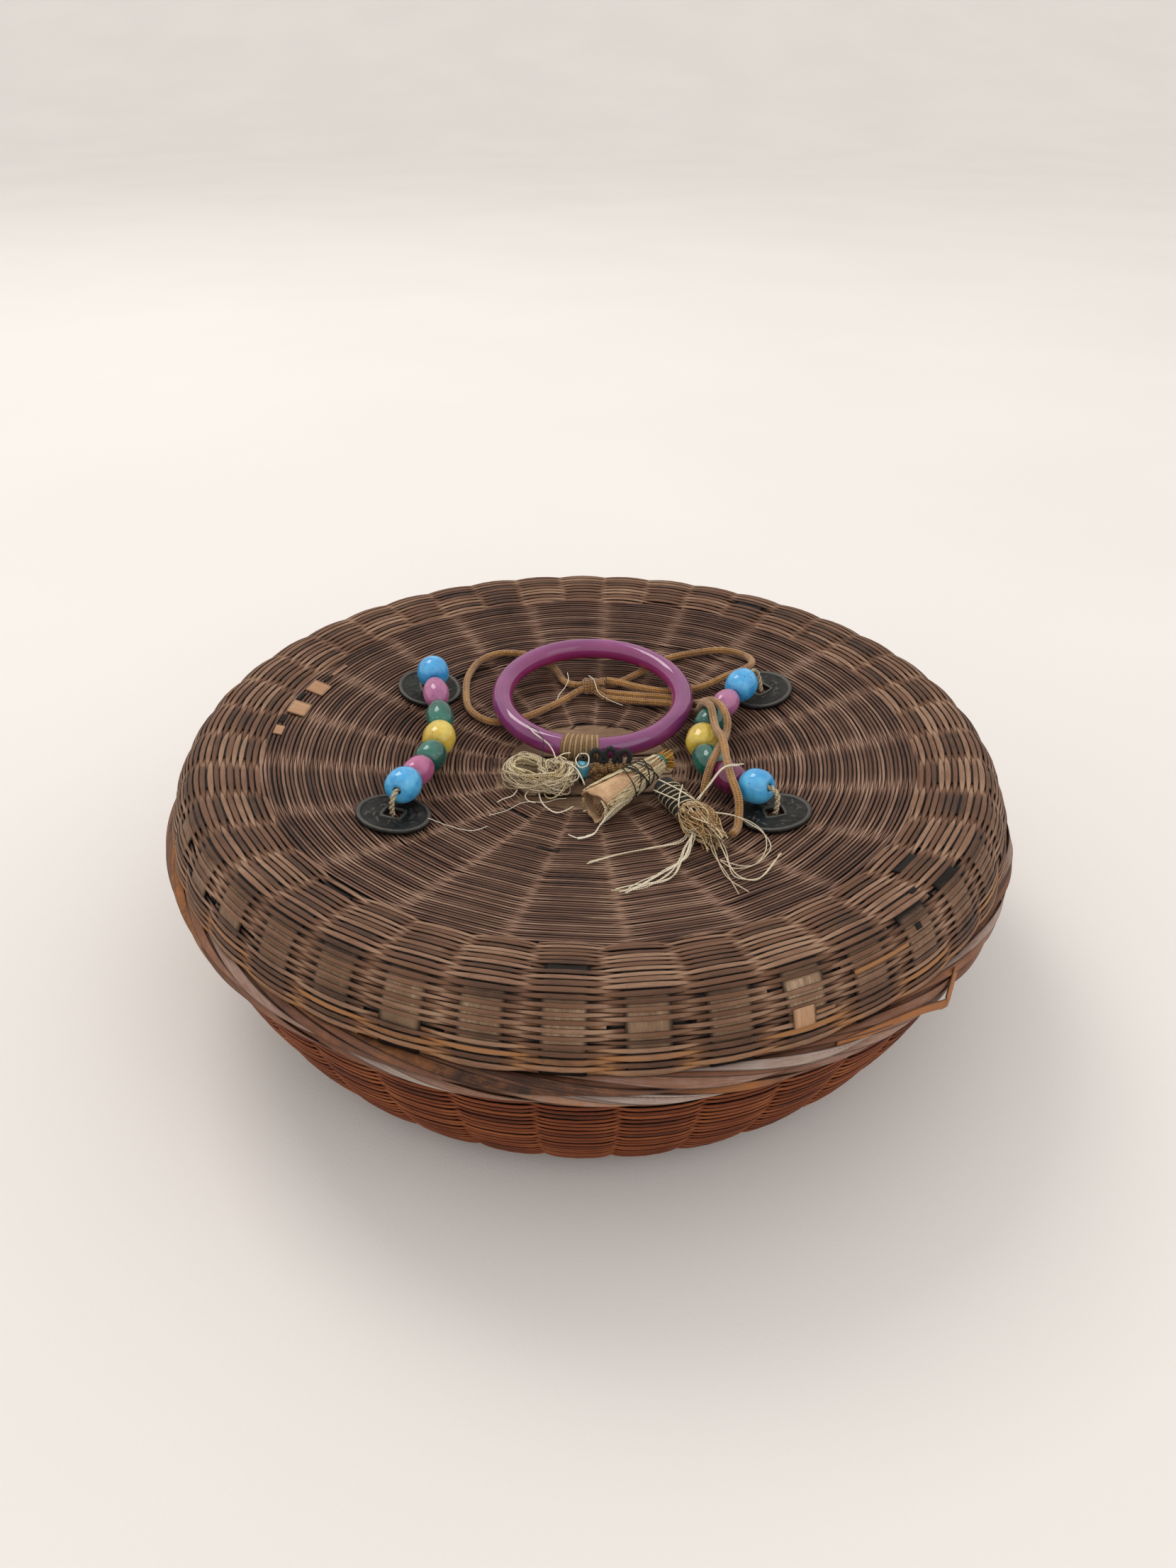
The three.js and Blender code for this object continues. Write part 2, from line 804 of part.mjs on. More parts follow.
const colours = {
  weave: [0x6b5546, 0.75, 0],
  oldWeave: [0x7a5a3c, 0.7, 0],
  splint: [0x8a7a6c, 0.7, 0],
  coin: [0x34363a, 0.5, 0.8],
  blueGlass: [0x3f9fc6, 0.12, 0],
  mauveGlass: [0xa04a80, 0.15, 0],
  purpleGlass: [0x7c2f5c, 0.15, 0],
  greenGlass: [0x1f6a5a, 0.15, 0],
  yellowGlass: [0xc9a83a, 0.15, 0],
  ringGlass: [0x93407f, 0.1, 0],
  ochreCord: [0xa8753a, 0.85, 0],
  straw: [0xd2b98a, 0.85, 0],
  paper: [0xb08a5e, 0.9, 0],
  darkThread: [0x2a2a28, 0.85, 0],
  brownCord: [0x7c5a38, 0.9, 0],
  gold: [0xc08a34, 0.9, 0],
};

const materials = {};
for (const [name, [color, roughness, metalness]] of Object.entries(colours)) {
  materials[name] = new THREE.MeshStandardMaterial({ color, roughness, metalness });
}

const basket = new THREE.Group();
const base = new THREE.Group();
const lid = new THREE.Group();
const ring = new THREE.Group();
basket.add(base, lid);
lid.add(ring);

function add(group, name, geometry, material) {
  const mesh = new THREE.Mesh(geometry, material);
  mesh.name = name;
  group.add(mesh);
  return mesh;
}

// Stands a piece drawn along +Z on a point of the dish, facing a second point, some way along the line
function addAlong(group, name, geometry, material, from, to, ahead = 0) {
  const mesh = add(group, name, geometry, material);
  const start = onDish(from);
  const along = onDish(to).sub(start).normalize();
  mesh.position.copy(start).addScaledVector(along, ahead);
  mesh.quaternion.setFromUnitVectors(millimetre(0, 0, 1), along);
  return mesh;
}

add(base, "base_floor", baseFloor(), materials.oldWeave);
add(base, "base_wall", baseWall(), materials.oldWeave);
add(base, "base_spokes", baseSpokes(), materials.splint);
add(base, "base_border", baseBorder(), materials.splint);
add(base, "locating_collar", locatingCollar(), materials.splint);

add(lid, "lid_inner_weave", lidInnerWeave(), materials.weave);
add(lid, "lid_crest_weave", lidCrestWeave(), materials.weave);
add(lid, "lid_side_weave", lidSideWeave(), materials.weave);
add(lid, "lid_spokes", lidSpokes(), materials.splint);
add(lid, "lid_border", lidBorder(), materials.splint);
add(lid, "loose_border_splint", looseSplint(), materials.splint);

for (const [name, place] of Object.entries(coinPlaces)) {
  placeOnDish(add(lid, name, coinGeometry(), materials.coin), ...place);
}

const leftBeads = [
  ["bead_left_1_blue", materials.blueGlass, 12.2],
  ["bead_left_2_mauve_long", materials.mauveGlass, 9.7],
  ["bead_left_3_green", materials.greenGlass, 10],
  ["bead_left_4_yellow", materials.yellowGlass, 11.9],
  ["bead_left_5_green", materials.greenGlass, 10.8],
  ["bead_left_6_mauve", materials.mauveGlass, 10.2],
  ["bead_left_7_blue", materials.blueGlass, 12],
];
const rightBeads = [
  ["bead_right_1_blue", materials.blueGlass, 12],
  ["bead_right_2_mauve_long", materials.mauveGlass, 10],
  ["bead_right_3_green", materials.greenGlass, 10.6],
  ["bead_right_4_yellow", materials.yellowGlass, 12],
  ["bead_right_5_green", materials.greenGlass, 11.2],
  ["bead_right_6_purple", materials.purpleGlass, 11.1],
  ["bead_right_7_blue", materials.blueGlass, 12],
];
leftBeads.forEach(([name, material, diameter], i) => {
  addBead(lid, name, material, leftJoints[i], leftJoints[i + 1], diameter);
});
rightBeads.forEach(([name, material, diameter], i) => {
  addBead(lid, name, material, rightJoints[i], rightJoints[i + 1], diameter);
});
add(lid, "bead_cord_left", beadCord(leftRearEnd, leftJoints, leftFrontEnd), materials.straw);
add(lid, "bead_cord_right", beadCord(rightRearEnd, rightJoints, rightFrontEnd), materials.straw);

ring.position.copy(onDish(ringCentre));
ring.rotation.x = degrees(ringTilt);
const torus = new THREE.TorusGeometry(ringRadius, ringTubeDiameter / 2, ringSides, ringSteps);
add(ring, "glass_ring", torus, materials.ringGlass);
add(
  ring,
  "ring_wrap",
  winding("ring_wrap", new RingWinding(), wrapTurns, wrapCordDiameter, windingSteps),
  materials.paper,
);

const bowKnot = add(lid, "bow_knot", lump(bowKnotSize), materials.ochreCord);
bowKnot.position.copy(onDish(bowKnotCentre));
add(lid, "bow_loop_left", cordThrough(leftBowPoints, bowCordDiameter), materials.ochreCord);
add(lid, "bow_loop_right", cordThrough(rightBowPoints, bowCordDiameter), materials.ochreCord);
add(lid, "bow_tail_upper", cordThrough(upperTailPoints, bowCordDiameter), materials.ochreCord);
add(lid, "bow_tail_lower", cordThrough(lowerTailPoints, bowCordDiameter), materials.ochreCord);

const hankLoops = hankLayers * hankLoopsInLayer;
const hank = add(
  lid,
  "tassel_hank_left",
  winding("tassel_hank_left", new ThreadHank(), hankLoops, hankThread, loopSteps),
  materials.straw,
);
hank.position.copy(onDish(hankCentre));

addAlong(lid, "tassel_core_middle", paperCore(), materials.paper, coreFoot, coreTip);
addAlong(lid, "tassel_sheath_middle", threadSheath(), materials.straw, coreFoot, coreTip);
const tuftAhead = coreLength() + gap;
addAlong(lid, "tassel_tuft_middle", tuft(), materials.gold, coreFoot, coreTip, tuftAhead);

addAlong(lid, "tassel_head_right", tasselHead(), materials.darkThread, headStart, headEnd);
const headWinding = winding("tassel_winding_right", new HeadWinding(), headTurns, headThread, windingSteps);
addAlong(lid, "tassel_winding_right", headWinding, materials.straw, headStart, headEnd);
const headLength = onDish(headStart).distanceTo(onDish(headEnd));
const skirtGeometry = lump([skirtWidth, skirtHeight, skirtLength]).translate(0, 0, skirtLength / 2);
addAlong(lid, "tassel_skirt_right", skirtGeometry, materials.straw, headStart, headEnd, headLength + gap);

const braid = add(lid, "braided_knot", lump(braidSize, 12, 6), materials.brownCord);
braid.position.copy(onDish(braidCentre));
add(lid, "black_loops", cordThrough(blackCordPoints, blackCordDiameter), materials.darkThread);
const smallBead = add(lid, "small_blue_bead", lump(smallBeadSize, 10, 6), materials.blueGlass);
smallBead.position.copy(onDish(smallBeadCentre));

export default basket;
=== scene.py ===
"""A round lidded basket of flat splints, with glass beads, holed coins, a glass ring and three tassels."""
import math
import bpy
import numpy as np
from mathutils import Matrix, Vector


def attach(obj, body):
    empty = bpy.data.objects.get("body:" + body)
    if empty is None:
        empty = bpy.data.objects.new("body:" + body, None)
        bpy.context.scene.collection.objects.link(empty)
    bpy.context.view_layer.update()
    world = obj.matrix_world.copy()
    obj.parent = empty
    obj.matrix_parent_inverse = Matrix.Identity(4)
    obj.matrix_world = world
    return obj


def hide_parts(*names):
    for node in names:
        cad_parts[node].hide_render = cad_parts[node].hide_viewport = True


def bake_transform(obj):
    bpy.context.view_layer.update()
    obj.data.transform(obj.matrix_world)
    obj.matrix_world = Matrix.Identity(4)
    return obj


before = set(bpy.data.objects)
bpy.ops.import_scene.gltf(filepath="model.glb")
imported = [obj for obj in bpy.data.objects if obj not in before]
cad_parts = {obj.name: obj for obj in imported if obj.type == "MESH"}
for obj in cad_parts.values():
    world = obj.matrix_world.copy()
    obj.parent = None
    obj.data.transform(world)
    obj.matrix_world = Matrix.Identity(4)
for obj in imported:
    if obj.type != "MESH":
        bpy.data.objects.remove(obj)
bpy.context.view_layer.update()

MM = 0.001
random = np.random.default_rng(41)

# Camera of the photograph, in millimetres and degrees
CAMERA_PLACE = (-0.71, -336.8, 284.8)
CAMERA_PITCH = 33.2
CAMERA_ROLL = 0.68
FOCAL_PIXELS = 1550
IMAGE_HEIGHT = 2212
SENSOR = 36

# Cloth, in metres: its half width, its front edge, where it starts to rise, and the radius of its sweep
CLOTH_HALF_WIDTH = 9
CLOTH_FRONT = -8
CLOTH_BEND = 4
CLOTH_SWEEP = 5

# Profile of base and lid, in millimetres
FOOT_RADIUS = 107
FOOT_LEAN = 22
FOOT_LEAN_HEIGHT = 5
RIM_RADIUS = 143
RIM_HEIGHT = 59.5
ZONE_RADIUS = 113
ZONE_HEIGHT = 87
DISH_DEPTH = 15
CREST_RADIUS = 131.5
CREST_HEIGHT = 90.5
SHOULDER_REACH = 13.5
SHOULDER_RISE = 28.5
WEAVE_FOOT = 69.6
BARE_RADIUS = 29.5
FLOOR_HEIGHT = 1.15
FLOOR_START = 13

# The bare middle of the lid: its radius, the reach and width of the splints that cross there, the turn of
# each layer of them in degrees, how deep the top layer lies, and how far below it each next one lies
PATCH_RADIUS = 26
PATCH_REACH = 36
PATCH_SPLINT = 12.3
PATCH_TURNS = (3, 62, -38, 93)
PATCH_DEPTH = 0.75
PATCH_LAYER = 0.32

# Collar inside the lid: its faces, the heights of its hoops, the ends and number of its uprights, and the
# width of both kinds of splint
COLLAR_OUTSIDE = 136.9
COLLAR_INSIDE = 135.9
COLLAR_HOOPS = (52.6, 57.8, 63, 68.2)
COLLAR_HEIGHTS = (50.3, 70.7)
COLLAR_UPRIGHTS = 24
COLLAR_HOOP_WIDTH = 5.1
COLLAR_UPRIGHT_WIDTH = 3.2

# Borders: piece, body, node, radius, height and half height of each, and the half width of both
BORDERS = [
    ("border_of_lid", "lid", "lid_border", RIM_RADIUS + 0.6, 66.75, 2.2),
    ("border_of_base", "base", "base_border", RIM_RADIUS, 62.25, 2.0),
]
BORDER_HALF_WIDTH = 2.5
# Splints of a border: how many, how wide, how many degrees of the basket one runs along, and round the border
# itself the angle of its inner end and how far it winds from there
BORDER_SPLINTS = 46
BORDER_SPLINT_WIDTH = 2.8
BORDER_SPAN = 44
BORDER_INNER_END = 150
BORDER_WINDING = 215

# The splint that has come away: angle in degrees, and millimetres out and up from the rim's outer face
LOOSE_RADIUS = RIM_RADIUS + 5
LOOSE_HEIGHT = 64.55
LOOSE_POINTS = [(46.4, -2, 4), (43.6, 0.6, -3.1), (39, -0.4, 0.9), (33, -1.4, 2.9), (27, -2.1, 2.9)]

# Spokes of lid, lid middle and base: how many there are, and the angle of the first one in degrees
LID_SPOKES = (41, -2.5)
ARM_SPOKES = (21, -3.1)
BASE_SPOKES = (39, -1.1)
LID_SPOKE_WIDTH = 12.2
BASE_SPOKE_WIDTH = 12

# What one turn of the weave adds, how deep the dark layer of painted shade under the weave lies, and how far
# up the wall from its foot the weave is drawn in
OUTER_PITCH = 1.08
INNER_PITCH = 0.7
BASE_PITCH = 1.3
FLOOR_PITCH = 1.0
SHADE_LAYER_LIFT = -1.75
FOOT_WIDTH = 24

# Directions: straight up, and what keeps only the level part of one
UP = (0, 0, 1)
LEVEL = (1, 1, 0)


# Helpers

def unit(vectors):
    return vectors / np.maximum(np.linalg.norm(vectors, axis=-1, keepdims=True), 1e-12)


def around(radius, angle, height):
    """A point in millimetres: the angle is in degrees from the front, towards +X."""
    turn = np.radians(angle)
    return np.stack([radius * np.sin(turn), -radius * np.cos(turn), height + 0 * turn], -1)


def polar(radius, turn, height):
    """Points round the Z axis: the turn is in radians from +X."""
    return np.stack([radius * np.cos(turn), radius * np.sin(turn), height], -1)


def dish_height(radius):
    return ZONE_HEIGHT - DISH_DEPTH * (1 - (radius / ZONE_RADIUS) ** 2)


def on_dish(x, y, above):
    return (x, y, dish_height(math.hypot(x, y)) + above)


def smoothstep(low, high, value):
    share = np.clip((value - low) / (high - low), 0, 1)
    return share * share * (3 - 2 * share)


def ripple(angle, size, seed, frequencies=(0.37, 1.31, 2.73, 7.19)):
    """A smooth wander that never repeats from turn to turn."""
    phases = np.random.default_rng(seed).uniform(0, 2 * np.pi, len(frequencies))
    waves = [np.sin(np.radians(angle) * f + p) for f, p in zip(frequencies, phases)]
    return size * sum(waves) / math.sqrt(len(frequencies))


def lengths(line):
    """The distance along a line, at each of its points."""
    return np.concatenate([[0], np.cumsum(np.linalg.norm(np.diff(line, axis=0), axis=1))])


def bow(first, middle, last, count):
    """Points of the curve from first to last that is drawn towards middle."""
    share = np.linspace(0, 1, count)[:, None]
    weights = (1 - share) ** 2, 2 * share * (1 - share), share**2
    return sum(weight * np.array(point, float) for weight, point in zip(weights, (first, middle, last)))


def link(name, data):
    piece = bpy.data.objects.new(name, data)
    bpy.context.scene.collection.objects.link(piece)
    return piece


def add_mesh(name, points, faces, material, nodes, body, strand):
    """points are in millimetres, and nodes are the ones that the piece replaces. strand holds, for each
    point, the length along its strand, a tone, a warmth and the place across."""
    data = bpy.data.meshes.new(name)
    data.from_pydata((np.reshape(points, (-1, 3)) * MM).tolist(), [], faces)
    if strand is not None:
        data.attributes.new("strand", "FLOAT_COLOR", "POINT").data.foreach_set("color", np.ravel(strand))
    data.polygons.foreach_set("use_smooth", [True] * len(data.polygons))
    data.materials.append(material)
    data.update()
    piece = link(name, data)
    if body is not None:
        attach(piece, body)
    if nodes:
        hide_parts(*nodes)
    return piece


def add_closed_grid(name, points, material, node, body="lid", strand=None, turned=False):
    """A closed skin over rows of points, where rows and columns both come back to where they began."""
    rows, sides = points.shape[:2]
    faces = []
    for i in range(rows):
        for k in range(sides):
            next_row, beside = (i + 1) % rows * sides, (k + 1) % sides
            face = (i * sides + k, next_row + k, next_row + beside, i * sides + beside)
            faces.append(face[:1] + face[:0:-1] if turned else face)
    return add_mesh(name, points, faces, material, (node,), body, strand)


def circle(sides):
    return [(math.cos(2 * math.pi * k / sides), math.sin(2 * math.pi * k / sides)) for k in range(sides)]


# Sections of strips and strands: places across and up, in half widths and half thicknesses
ROUND_SECTIONS = {"round": circle(8), "thread": circle(6), "cord": circle(12)}
SECTIONS = {
    "splint": [(1, 0), (0.78, 0.85), (-0.78, 0.85), (-1, 0), (-0.78, -0.85), (0.78, -0.85)],
    "strand": [(1, 0.1), (0.55, 0.9), (-0.55, 0.9), (-1, 0.1), (0, -0.9)],
    "flat": [(1, 0), (0.93, 0.7), (0.7, 1), (-0.7, 1), (-0.93, 0.7), (-1, 0), (-0.7, -0.8), (0.7, -0.8)],
    **ROUND_SECTIONS,
}


class Sweeps:
    """Collects strips and strands, each a section swept along a line, into one mesh."""

    def __init__(self):
        self.points = []
        self.faces = []
        self.strands = []
        self.count = 0

    def add(
        self, line, out, width, thickness, section="splint", kept=None, closed=False, tone=None, warmth=0,
    ):
        """out is where the upper side faces. kept says at which points the strand is whole."""
        line = np.asarray(line, float)
        number = len(line)
        ahead = np.roll(line, -1, 0) - np.roll(line, 1, 0) if closed else np.gradient(line, axis=0)
        along = unit(ahead)
        across = unit(np.cross(np.broadcast_to(out, line.shape), along))
        normal = np.cross(along, across)
        shape = np.array(SECTIONS[section])
        sides = len(shape)
        width = np.broadcast_to(width, number)[:, None, None] / 2
        thickness = np.broadcast_to(thickness, number)[:, None, None] / 2
        rings = line[:, None] + across[:, None] * shape[None, :, :1] * width
        rings = rings + normal[:, None] * shape[None, :, 1:] * thickness
        tone = random.uniform() if tone is None else tone
        values = np.empty((number, sides, 4))
        for channel, value in enumerate((lengths(line), tone, warmth)):
            values[..., channel] = np.broadcast_to(value, number)[:, None]
        values[..., 3] = np.arange(sides) / sides if section in ROUND_SECTIONS else (shape[:, 0] + 1) / 2
        self.points.append(rings.reshape(-1, 3))
        self.strands.append(values.reshape(-1, 4))
        self.join(np.ones(number, bool) if kept is None else kept, sides, closed)
        self.count += number * sides

    def round(self, line, diameter, section="cord", tone=0.5, warmth=0):
        self.add(line, carried(line), diameter, diameter, section, tone=tone, warmth=warmth)

    def thread(self, line, diameter, tone=None, warmth=0):
        self.round(line, diameter, "thread", tone, warmth)

    def twisted(self, line, diameter, plies, pitch, tone, warmth=0):
        """Plies laid round each other along a line."""
        normal = carried(line)
        side = np.cross(unit(np.gradient(line, axis=0)), normal)
        reach = diameter * (0.23 if plies == 2 else 0.26)
        ply = diameter - 2 * reach
        for k in range(plies):
            turn = (2 * np.pi * (lengths(line) / pitch + k / plies))[:, None]
            out = normal * np.cos(turn) + side * np.sin(turn)
            self.add(line + reach * out, out, ply, ply, "round", tone=tone, warmth=warmth)

    def join(self, kept, sides, closed):
        """Faces round the strand just added, with caps where it starts and stops."""
        number = len(kept)
        start = np.arange(number if closed else number - 1)
        start = start[kept[start] & kept[(start + 1) % number]]
        following = (start + 1) % number
        side = np.arange(sides)
        beside = (side + 1) % sides
        corners = ((start, side), (start, beside), (following, beside), (following, side))
        quads = np.stack([self.count + row[:, None] * sides + place for row, place in corners], -1)
        self.faces += quads.reshape(-1, 4).tolist()
        before, after = np.roll(kept, 1), np.roll(kept, -1)
        if not closed:
            before[0] = after[-1] = False
        for ends, order in ((kept & ~before, side[::-1]), (kept & ~after, side)):
            for i in np.flatnonzero(ends):
                self.faces.append((self.count + i * sides + order).tolist())

    def build(self, name, material, *nodes, body="lid"):
        used = np.zeros(self.count, bool)
        for face in self.faces:
            used[face] = True
        index = np.cumsum(used) - 1
        points = np.concatenate(self.points)[used]
        strands = np.concatenate(self.strands)[used]
        faces = [index[face].tolist() for face in self.faces]
        return add_mesh(name, points, faces, material, nodes, body, strands)


class Profile:
    """A line in radius and height, read by the distance along it."""

    def __init__(self, points, outward=1):
        self.points = np.asarray(points, float)
        self.distance = lengths(self.points)
        self.slope = unit(np.gradient(self.points, self.distance, axis=0)) * outward

    def read(self, table, distance):
        return [np.interp(distance, self.distance, table[:, k]) for k in (0, 1)]

    def place(self, distance, angle, lift):
        """Points on the surface, raised by lift, and the outward directions there."""
        radius, height = self.read(self.points, distance)
        out_height, out_radius = self.read(self.slope * (1, -1), distance)
        points = around(radius + out_radius * lift, angle, height + out_height * lift)
        return points, around(out_radius, angle, out_height)

    def where(self, radius):
        return float(np.interp(radius, self.points[:, 0], self.distance))


def lid_profile():
    radius = np.linspace(0, ZONE_RADIUS, 60)
    dish = np.stack([radius, dish_height(radius)], -1)
    middle = ((ZONE_RADIUS + 2 * CREST_RADIUS) / 3, CREST_HEIGHT)
    crest = bow((ZONE_RADIUS, ZONE_HEIGHT), middle, (CREST_RADIUS, CREST_HEIGHT), 20)[1:]
    centre = CREST_HEIGHT - SHOULDER_RISE
    last = math.asin((WEAVE_FOOT - centre) / SHOULDER_RISE)
    turn = np.linspace(math.pi / 2, last, 40)[1:]
    shoulder = np.stack([SHOULDER_REACH * np.cos(turn), SHOULDER_RISE * np.sin(turn)], -1)
    return Profile(np.vstack([dish, crest, shoulder + (CREST_RADIUS, centre)]))


def wall_profile():
    foot, middle = (FOOT_RADIUS, 0), (FOOT_RADIUS + FOOT_LEAN, FOOT_LEAN_HEIGHT)
    return Profile(bow(foot, middle, (RIM_RADIUS, RIM_HEIGHT), 80), outward=-1)


lid = lid_profile()
wall = wall_profile()
EDGE = lid.where(ZONE_RADIUS)
LID_END = lid.distance[-1]


# Materials

def colour(text):
    """A screen colour such as 6b5546 as the linear colour that shaders use."""
    parts = [int(text[k : k + 2], 16) / 255 for k in (0, 2, 4)]
    return tuple((c / 12.92 if c < 0.04045 else ((c + 0.055) / 1.055) ** 2.4) for c in parts) + (1,)


class Shade:
    """A node material with short calls for the nodes used here."""

    def __init__(self, name, roughness, **inputs):
        self.material = bpy.data.materials.new(name)
        self.material.use_nodes = True
        self.tree = self.material.node_tree
        self.shader = self.tree.nodes["Principled BSDF"]
        self.shader.inputs["Roughness"].default_value = roughness
        for key, value in inputs.items():
            self.shader.inputs[key.replace("_", " ").title()].default_value = value

    def add(self, kind, values=None, **settings):
        node = self.tree.nodes.new(kind)
        for key, value in settings.items():
            setattr(node, key, value)
        for key, value in (values or {}).items():
            if isinstance(value, bpy.types.NodeSocket):
                self.tree.links.new(value, node.inputs[key])
            else:
                node.inputs[key].default_value = colour(value) if isinstance(value, str) else value
        return node

    def strand(self):
        """The length along, tone, warmth and place across that the mesh keeps for its strands."""
        node = self.add("ShaderNodeAttribute", attribute_name="strand")
        parts = self.add("ShaderNodeSeparateColor", {"Color": node.outputs["Color"]})
        return *parts.outputs, node.outputs["Alpha"]

    def math(self, operation, first, second=0.5):
        return self.add("ShaderNodeMath", {0: first, 1: second}, operation=operation).outputs[0]

    def times(self, first, second):
        return self.math("MULTIPLY", first, second)

    def less(self, first, second):
        return self.math("SUBTRACT", first, second)

    def total(self, *terms):
        """Adds up values, each one given alone or with its weight."""
        parts = [self.times(*term) if isinstance(term, tuple) else term for term in terms]
        result = parts[0]
        for part in parts[1:]:
            result = self.math("ADD", result, part)
        return result

    def noise(self, scale, detail=3, roughness=0.6, vector=None):
        values = {"Vector": vector or self.place(), "Scale": scale, "Detail": detail, "Roughness": roughness}
        return self.add("ShaderNodeTexNoise", values).outputs["Fac"]

    def place(self):
        return self.add("ShaderNodeTexCoord").outputs["Object"]

    def vector(self, **parts):
        return self.add("ShaderNodeCombineXYZ", parts).outputs[0]

    def mix(self, share, first, second, most=None):
        """Two colours. most is the share of the second one where it is strongest."""
        share = share if most is None else self.times(share, most)
        return self.add("ShaderNodeMix", {0: share, 6: first, 7: second}, data_type="RGBA").outputs[2]

    def band(self, value, low, high):
        """0 below low, 1 above high."""
        values = {"Value": value, "From Min": low, "From Max": high}
        return self.add("ShaderNodeMapRange", values, interpolation_type="SMOOTHSTEP").outputs["Result"]

    def finish(self, base, height, depth, strength, roughness=None):
        self.tree.links.new(base, self.shader.inputs["Base Color"])
        if roughness is not None:
            self.tree.links.new(roughness, self.shader.inputs["Roughness"])
        bump = self.add("ShaderNodeBump", {"Height": height, "Distance": depth, "Strength": strength})
        self.tree.links.new(bump.outputs["Normal"], self.shader.inputs["Normal"])
        return self.material


def splint_material(name, dark, middle, light, warm, roughness=0.6, specular=0.3):
    """Old split cane: fibres along each strand, a tone of its own, worn golden places and painted shade along
    its edges.
    """
    shade = Shade(name, roughness)
    shade.shader.inputs["Specular IOR Level"].default_value = specular
    along, tone, warmth, across = shade.strand()
    grain = shade.vector(X=shade.times(along, 0.09), Y=shade.times(across, 7.0), Z=shade.times(tone, 53.0))
    fibre = shade.noise(1.6, 4, 0.7, grain)
    cloud = shade.noise(38.0, 4, 0.62)
    fine = shade.noise(420.0, 3, 0.6)
    blend = shade.total((fibre, 0.55), (tone, 0.5), (cloud, 0.55))
    base = shade.mix(shade.band(blend, 0.4, 0.85), dark, middle)
    base = shade.mix(shade.band(blend, 0.8, 1.2), base, light)
    gold = shade.total(warmth, (shade.less(fine, 0.5), 0.5), (shade.less(cloud, 0.5), 0.9))
    base = shade.mix(shade.band(gold, 0.35, 0.95), base, warm)
    # Painted shade: each strand darkens towards both edges, where the gaps between strands fall into shade
    painted_edge_shade = shade.math("ABSOLUTE", shade.less(across, 0.5))
    base = shade.mix(shade.band(painted_edge_shade, 0.34, 0.5), base, dark, 0.75)
    return shade.finish(base, fibre, 0.0003, 0.6)


lid_inner_finish = splint_material("weave_lid_inner", "1a0e08", "6a4a3a", "a3826c", "94683a")
lid_outer_finish = splint_material("weave_lid_outer", "180c06", "6f4c36", "a6846a", "9e6c40")
base_finish = splint_material("weave_base", "150602", "723618", "98572e", "9c5c26", 0.62, 0.15)
border_finish = splint_material("splint_border", "25130b", "80553e", "ab9a90", "a0632f")
spoke_finish = splint_material("splint_spoke", "120a06", "7d624b", "bda284", "b8996a", 0.6, 0.2)
bare_finish = splint_material("splint_bare", "6b4c36", "a8805f", "c6a080", "b98a5c", 0.6, 0.2)
inside_finish = splint_material("splint_inside", "2e2018", "66503f", "8c755c", "97703f")


# Camera and stage

def make_camera():
    data = bpy.data.cameras.new("photo_camera")
    data.sensor_fit = "AUTO"
    data.sensor_width = SENSOR
    data.lens = FOCAL_PIXELS / IMAGE_HEIGHT * SENSOR
    data.clip_start = 0.01
    camera = link("photo_camera", data)
    pitch = Matrix.Rotation(math.radians(90 - CAMERA_PITCH), 4, "X")
    roll = Matrix.Rotation(math.radians(CAMERA_ROLL), 4, "Z")
    camera.matrix_world = Matrix.Translation(Vector(CAMERA_PLACE) * MM) @ pitch @ roll
    bpy.context.scene.camera = camera


def make_floor():
    """A pale cloth that lies flat and sweeps up far behind the object."""
    shade = Shade("floor_cloth", 0.9)
    base = shade.mix(shade.noise(3.0, 3, 0.5), "e4dfda", "ece8e3")
    turn = np.linspace(0, math.pi / 2, 25)
    rows = [(CLOTH_FRONT, 0)]
    rows += zip(CLOTH_BEND + CLOTH_SWEEP * np.sin(turn), CLOTH_SWEEP * (1 - np.cos(turn)))
    points = [(x, y, z) for y, z in rows for x in (-CLOTH_HALF_WIDTH, CLOTH_HALF_WIDTH)]
    faces = [(2 * i, 2 * i + 1, 2 * i + 3, 2 * i + 2) for i in range(len(rows) - 1)]
    data = bpy.data.meshes.new("floor")
    data.from_pydata(points, [], faces)
    data.polygons.foreach_set("use_smooth", [True] * len(faces))
    data.materials.append(shade.finish(base, shade.noise(900.0, 2, 0.5), 0.0003, 0.2))
    link("floor", data)


def add_light(name, place, target, size, power, tint):
    data = bpy.data.lights.new(name, "AREA")
    data.size = size
    data.energy = power
    data.color = colour(tint)[:3]
    light = link(name, data)
    light.location = place
    light.rotation_euler = (Vector(target) - Vector(place)).to_track_quat("-Z", "Y").to_euler()


def make_lights():
    world = bpy.data.worlds.new("studio")
    world.use_nodes = True
    background = world.node_tree.nodes["Background"]
    background.inputs["Color"].default_value = colour("f2f0ee")
    background.inputs["Strength"].default_value = 1.05
    bpy.context.scene.world = world
    bpy.context.scene.view_settings.view_transform = "Standard"
    add_light("window", (-0.9, 1.1, 2.1), (0, 0, 0.06), 1.0, 15, "fffaf4")
    add_light("fill", (1.3, -1.2, 1.5), (0, 0, 0.05), 1.4, 4, "f4f6ff")


# Weave

COLUMN_STEPS = (-0.5, -0.42, -0.34, -0.22, 0, 0.22, 0.34, 0.42)


def column_rise(phase, rise, groove):
    """The weave bulges over each column and draws in between columns. A small groove makes a sharp one."""
    return rise * (2 * np.abs(np.cos(np.pi * phase)) ** groove - 1)


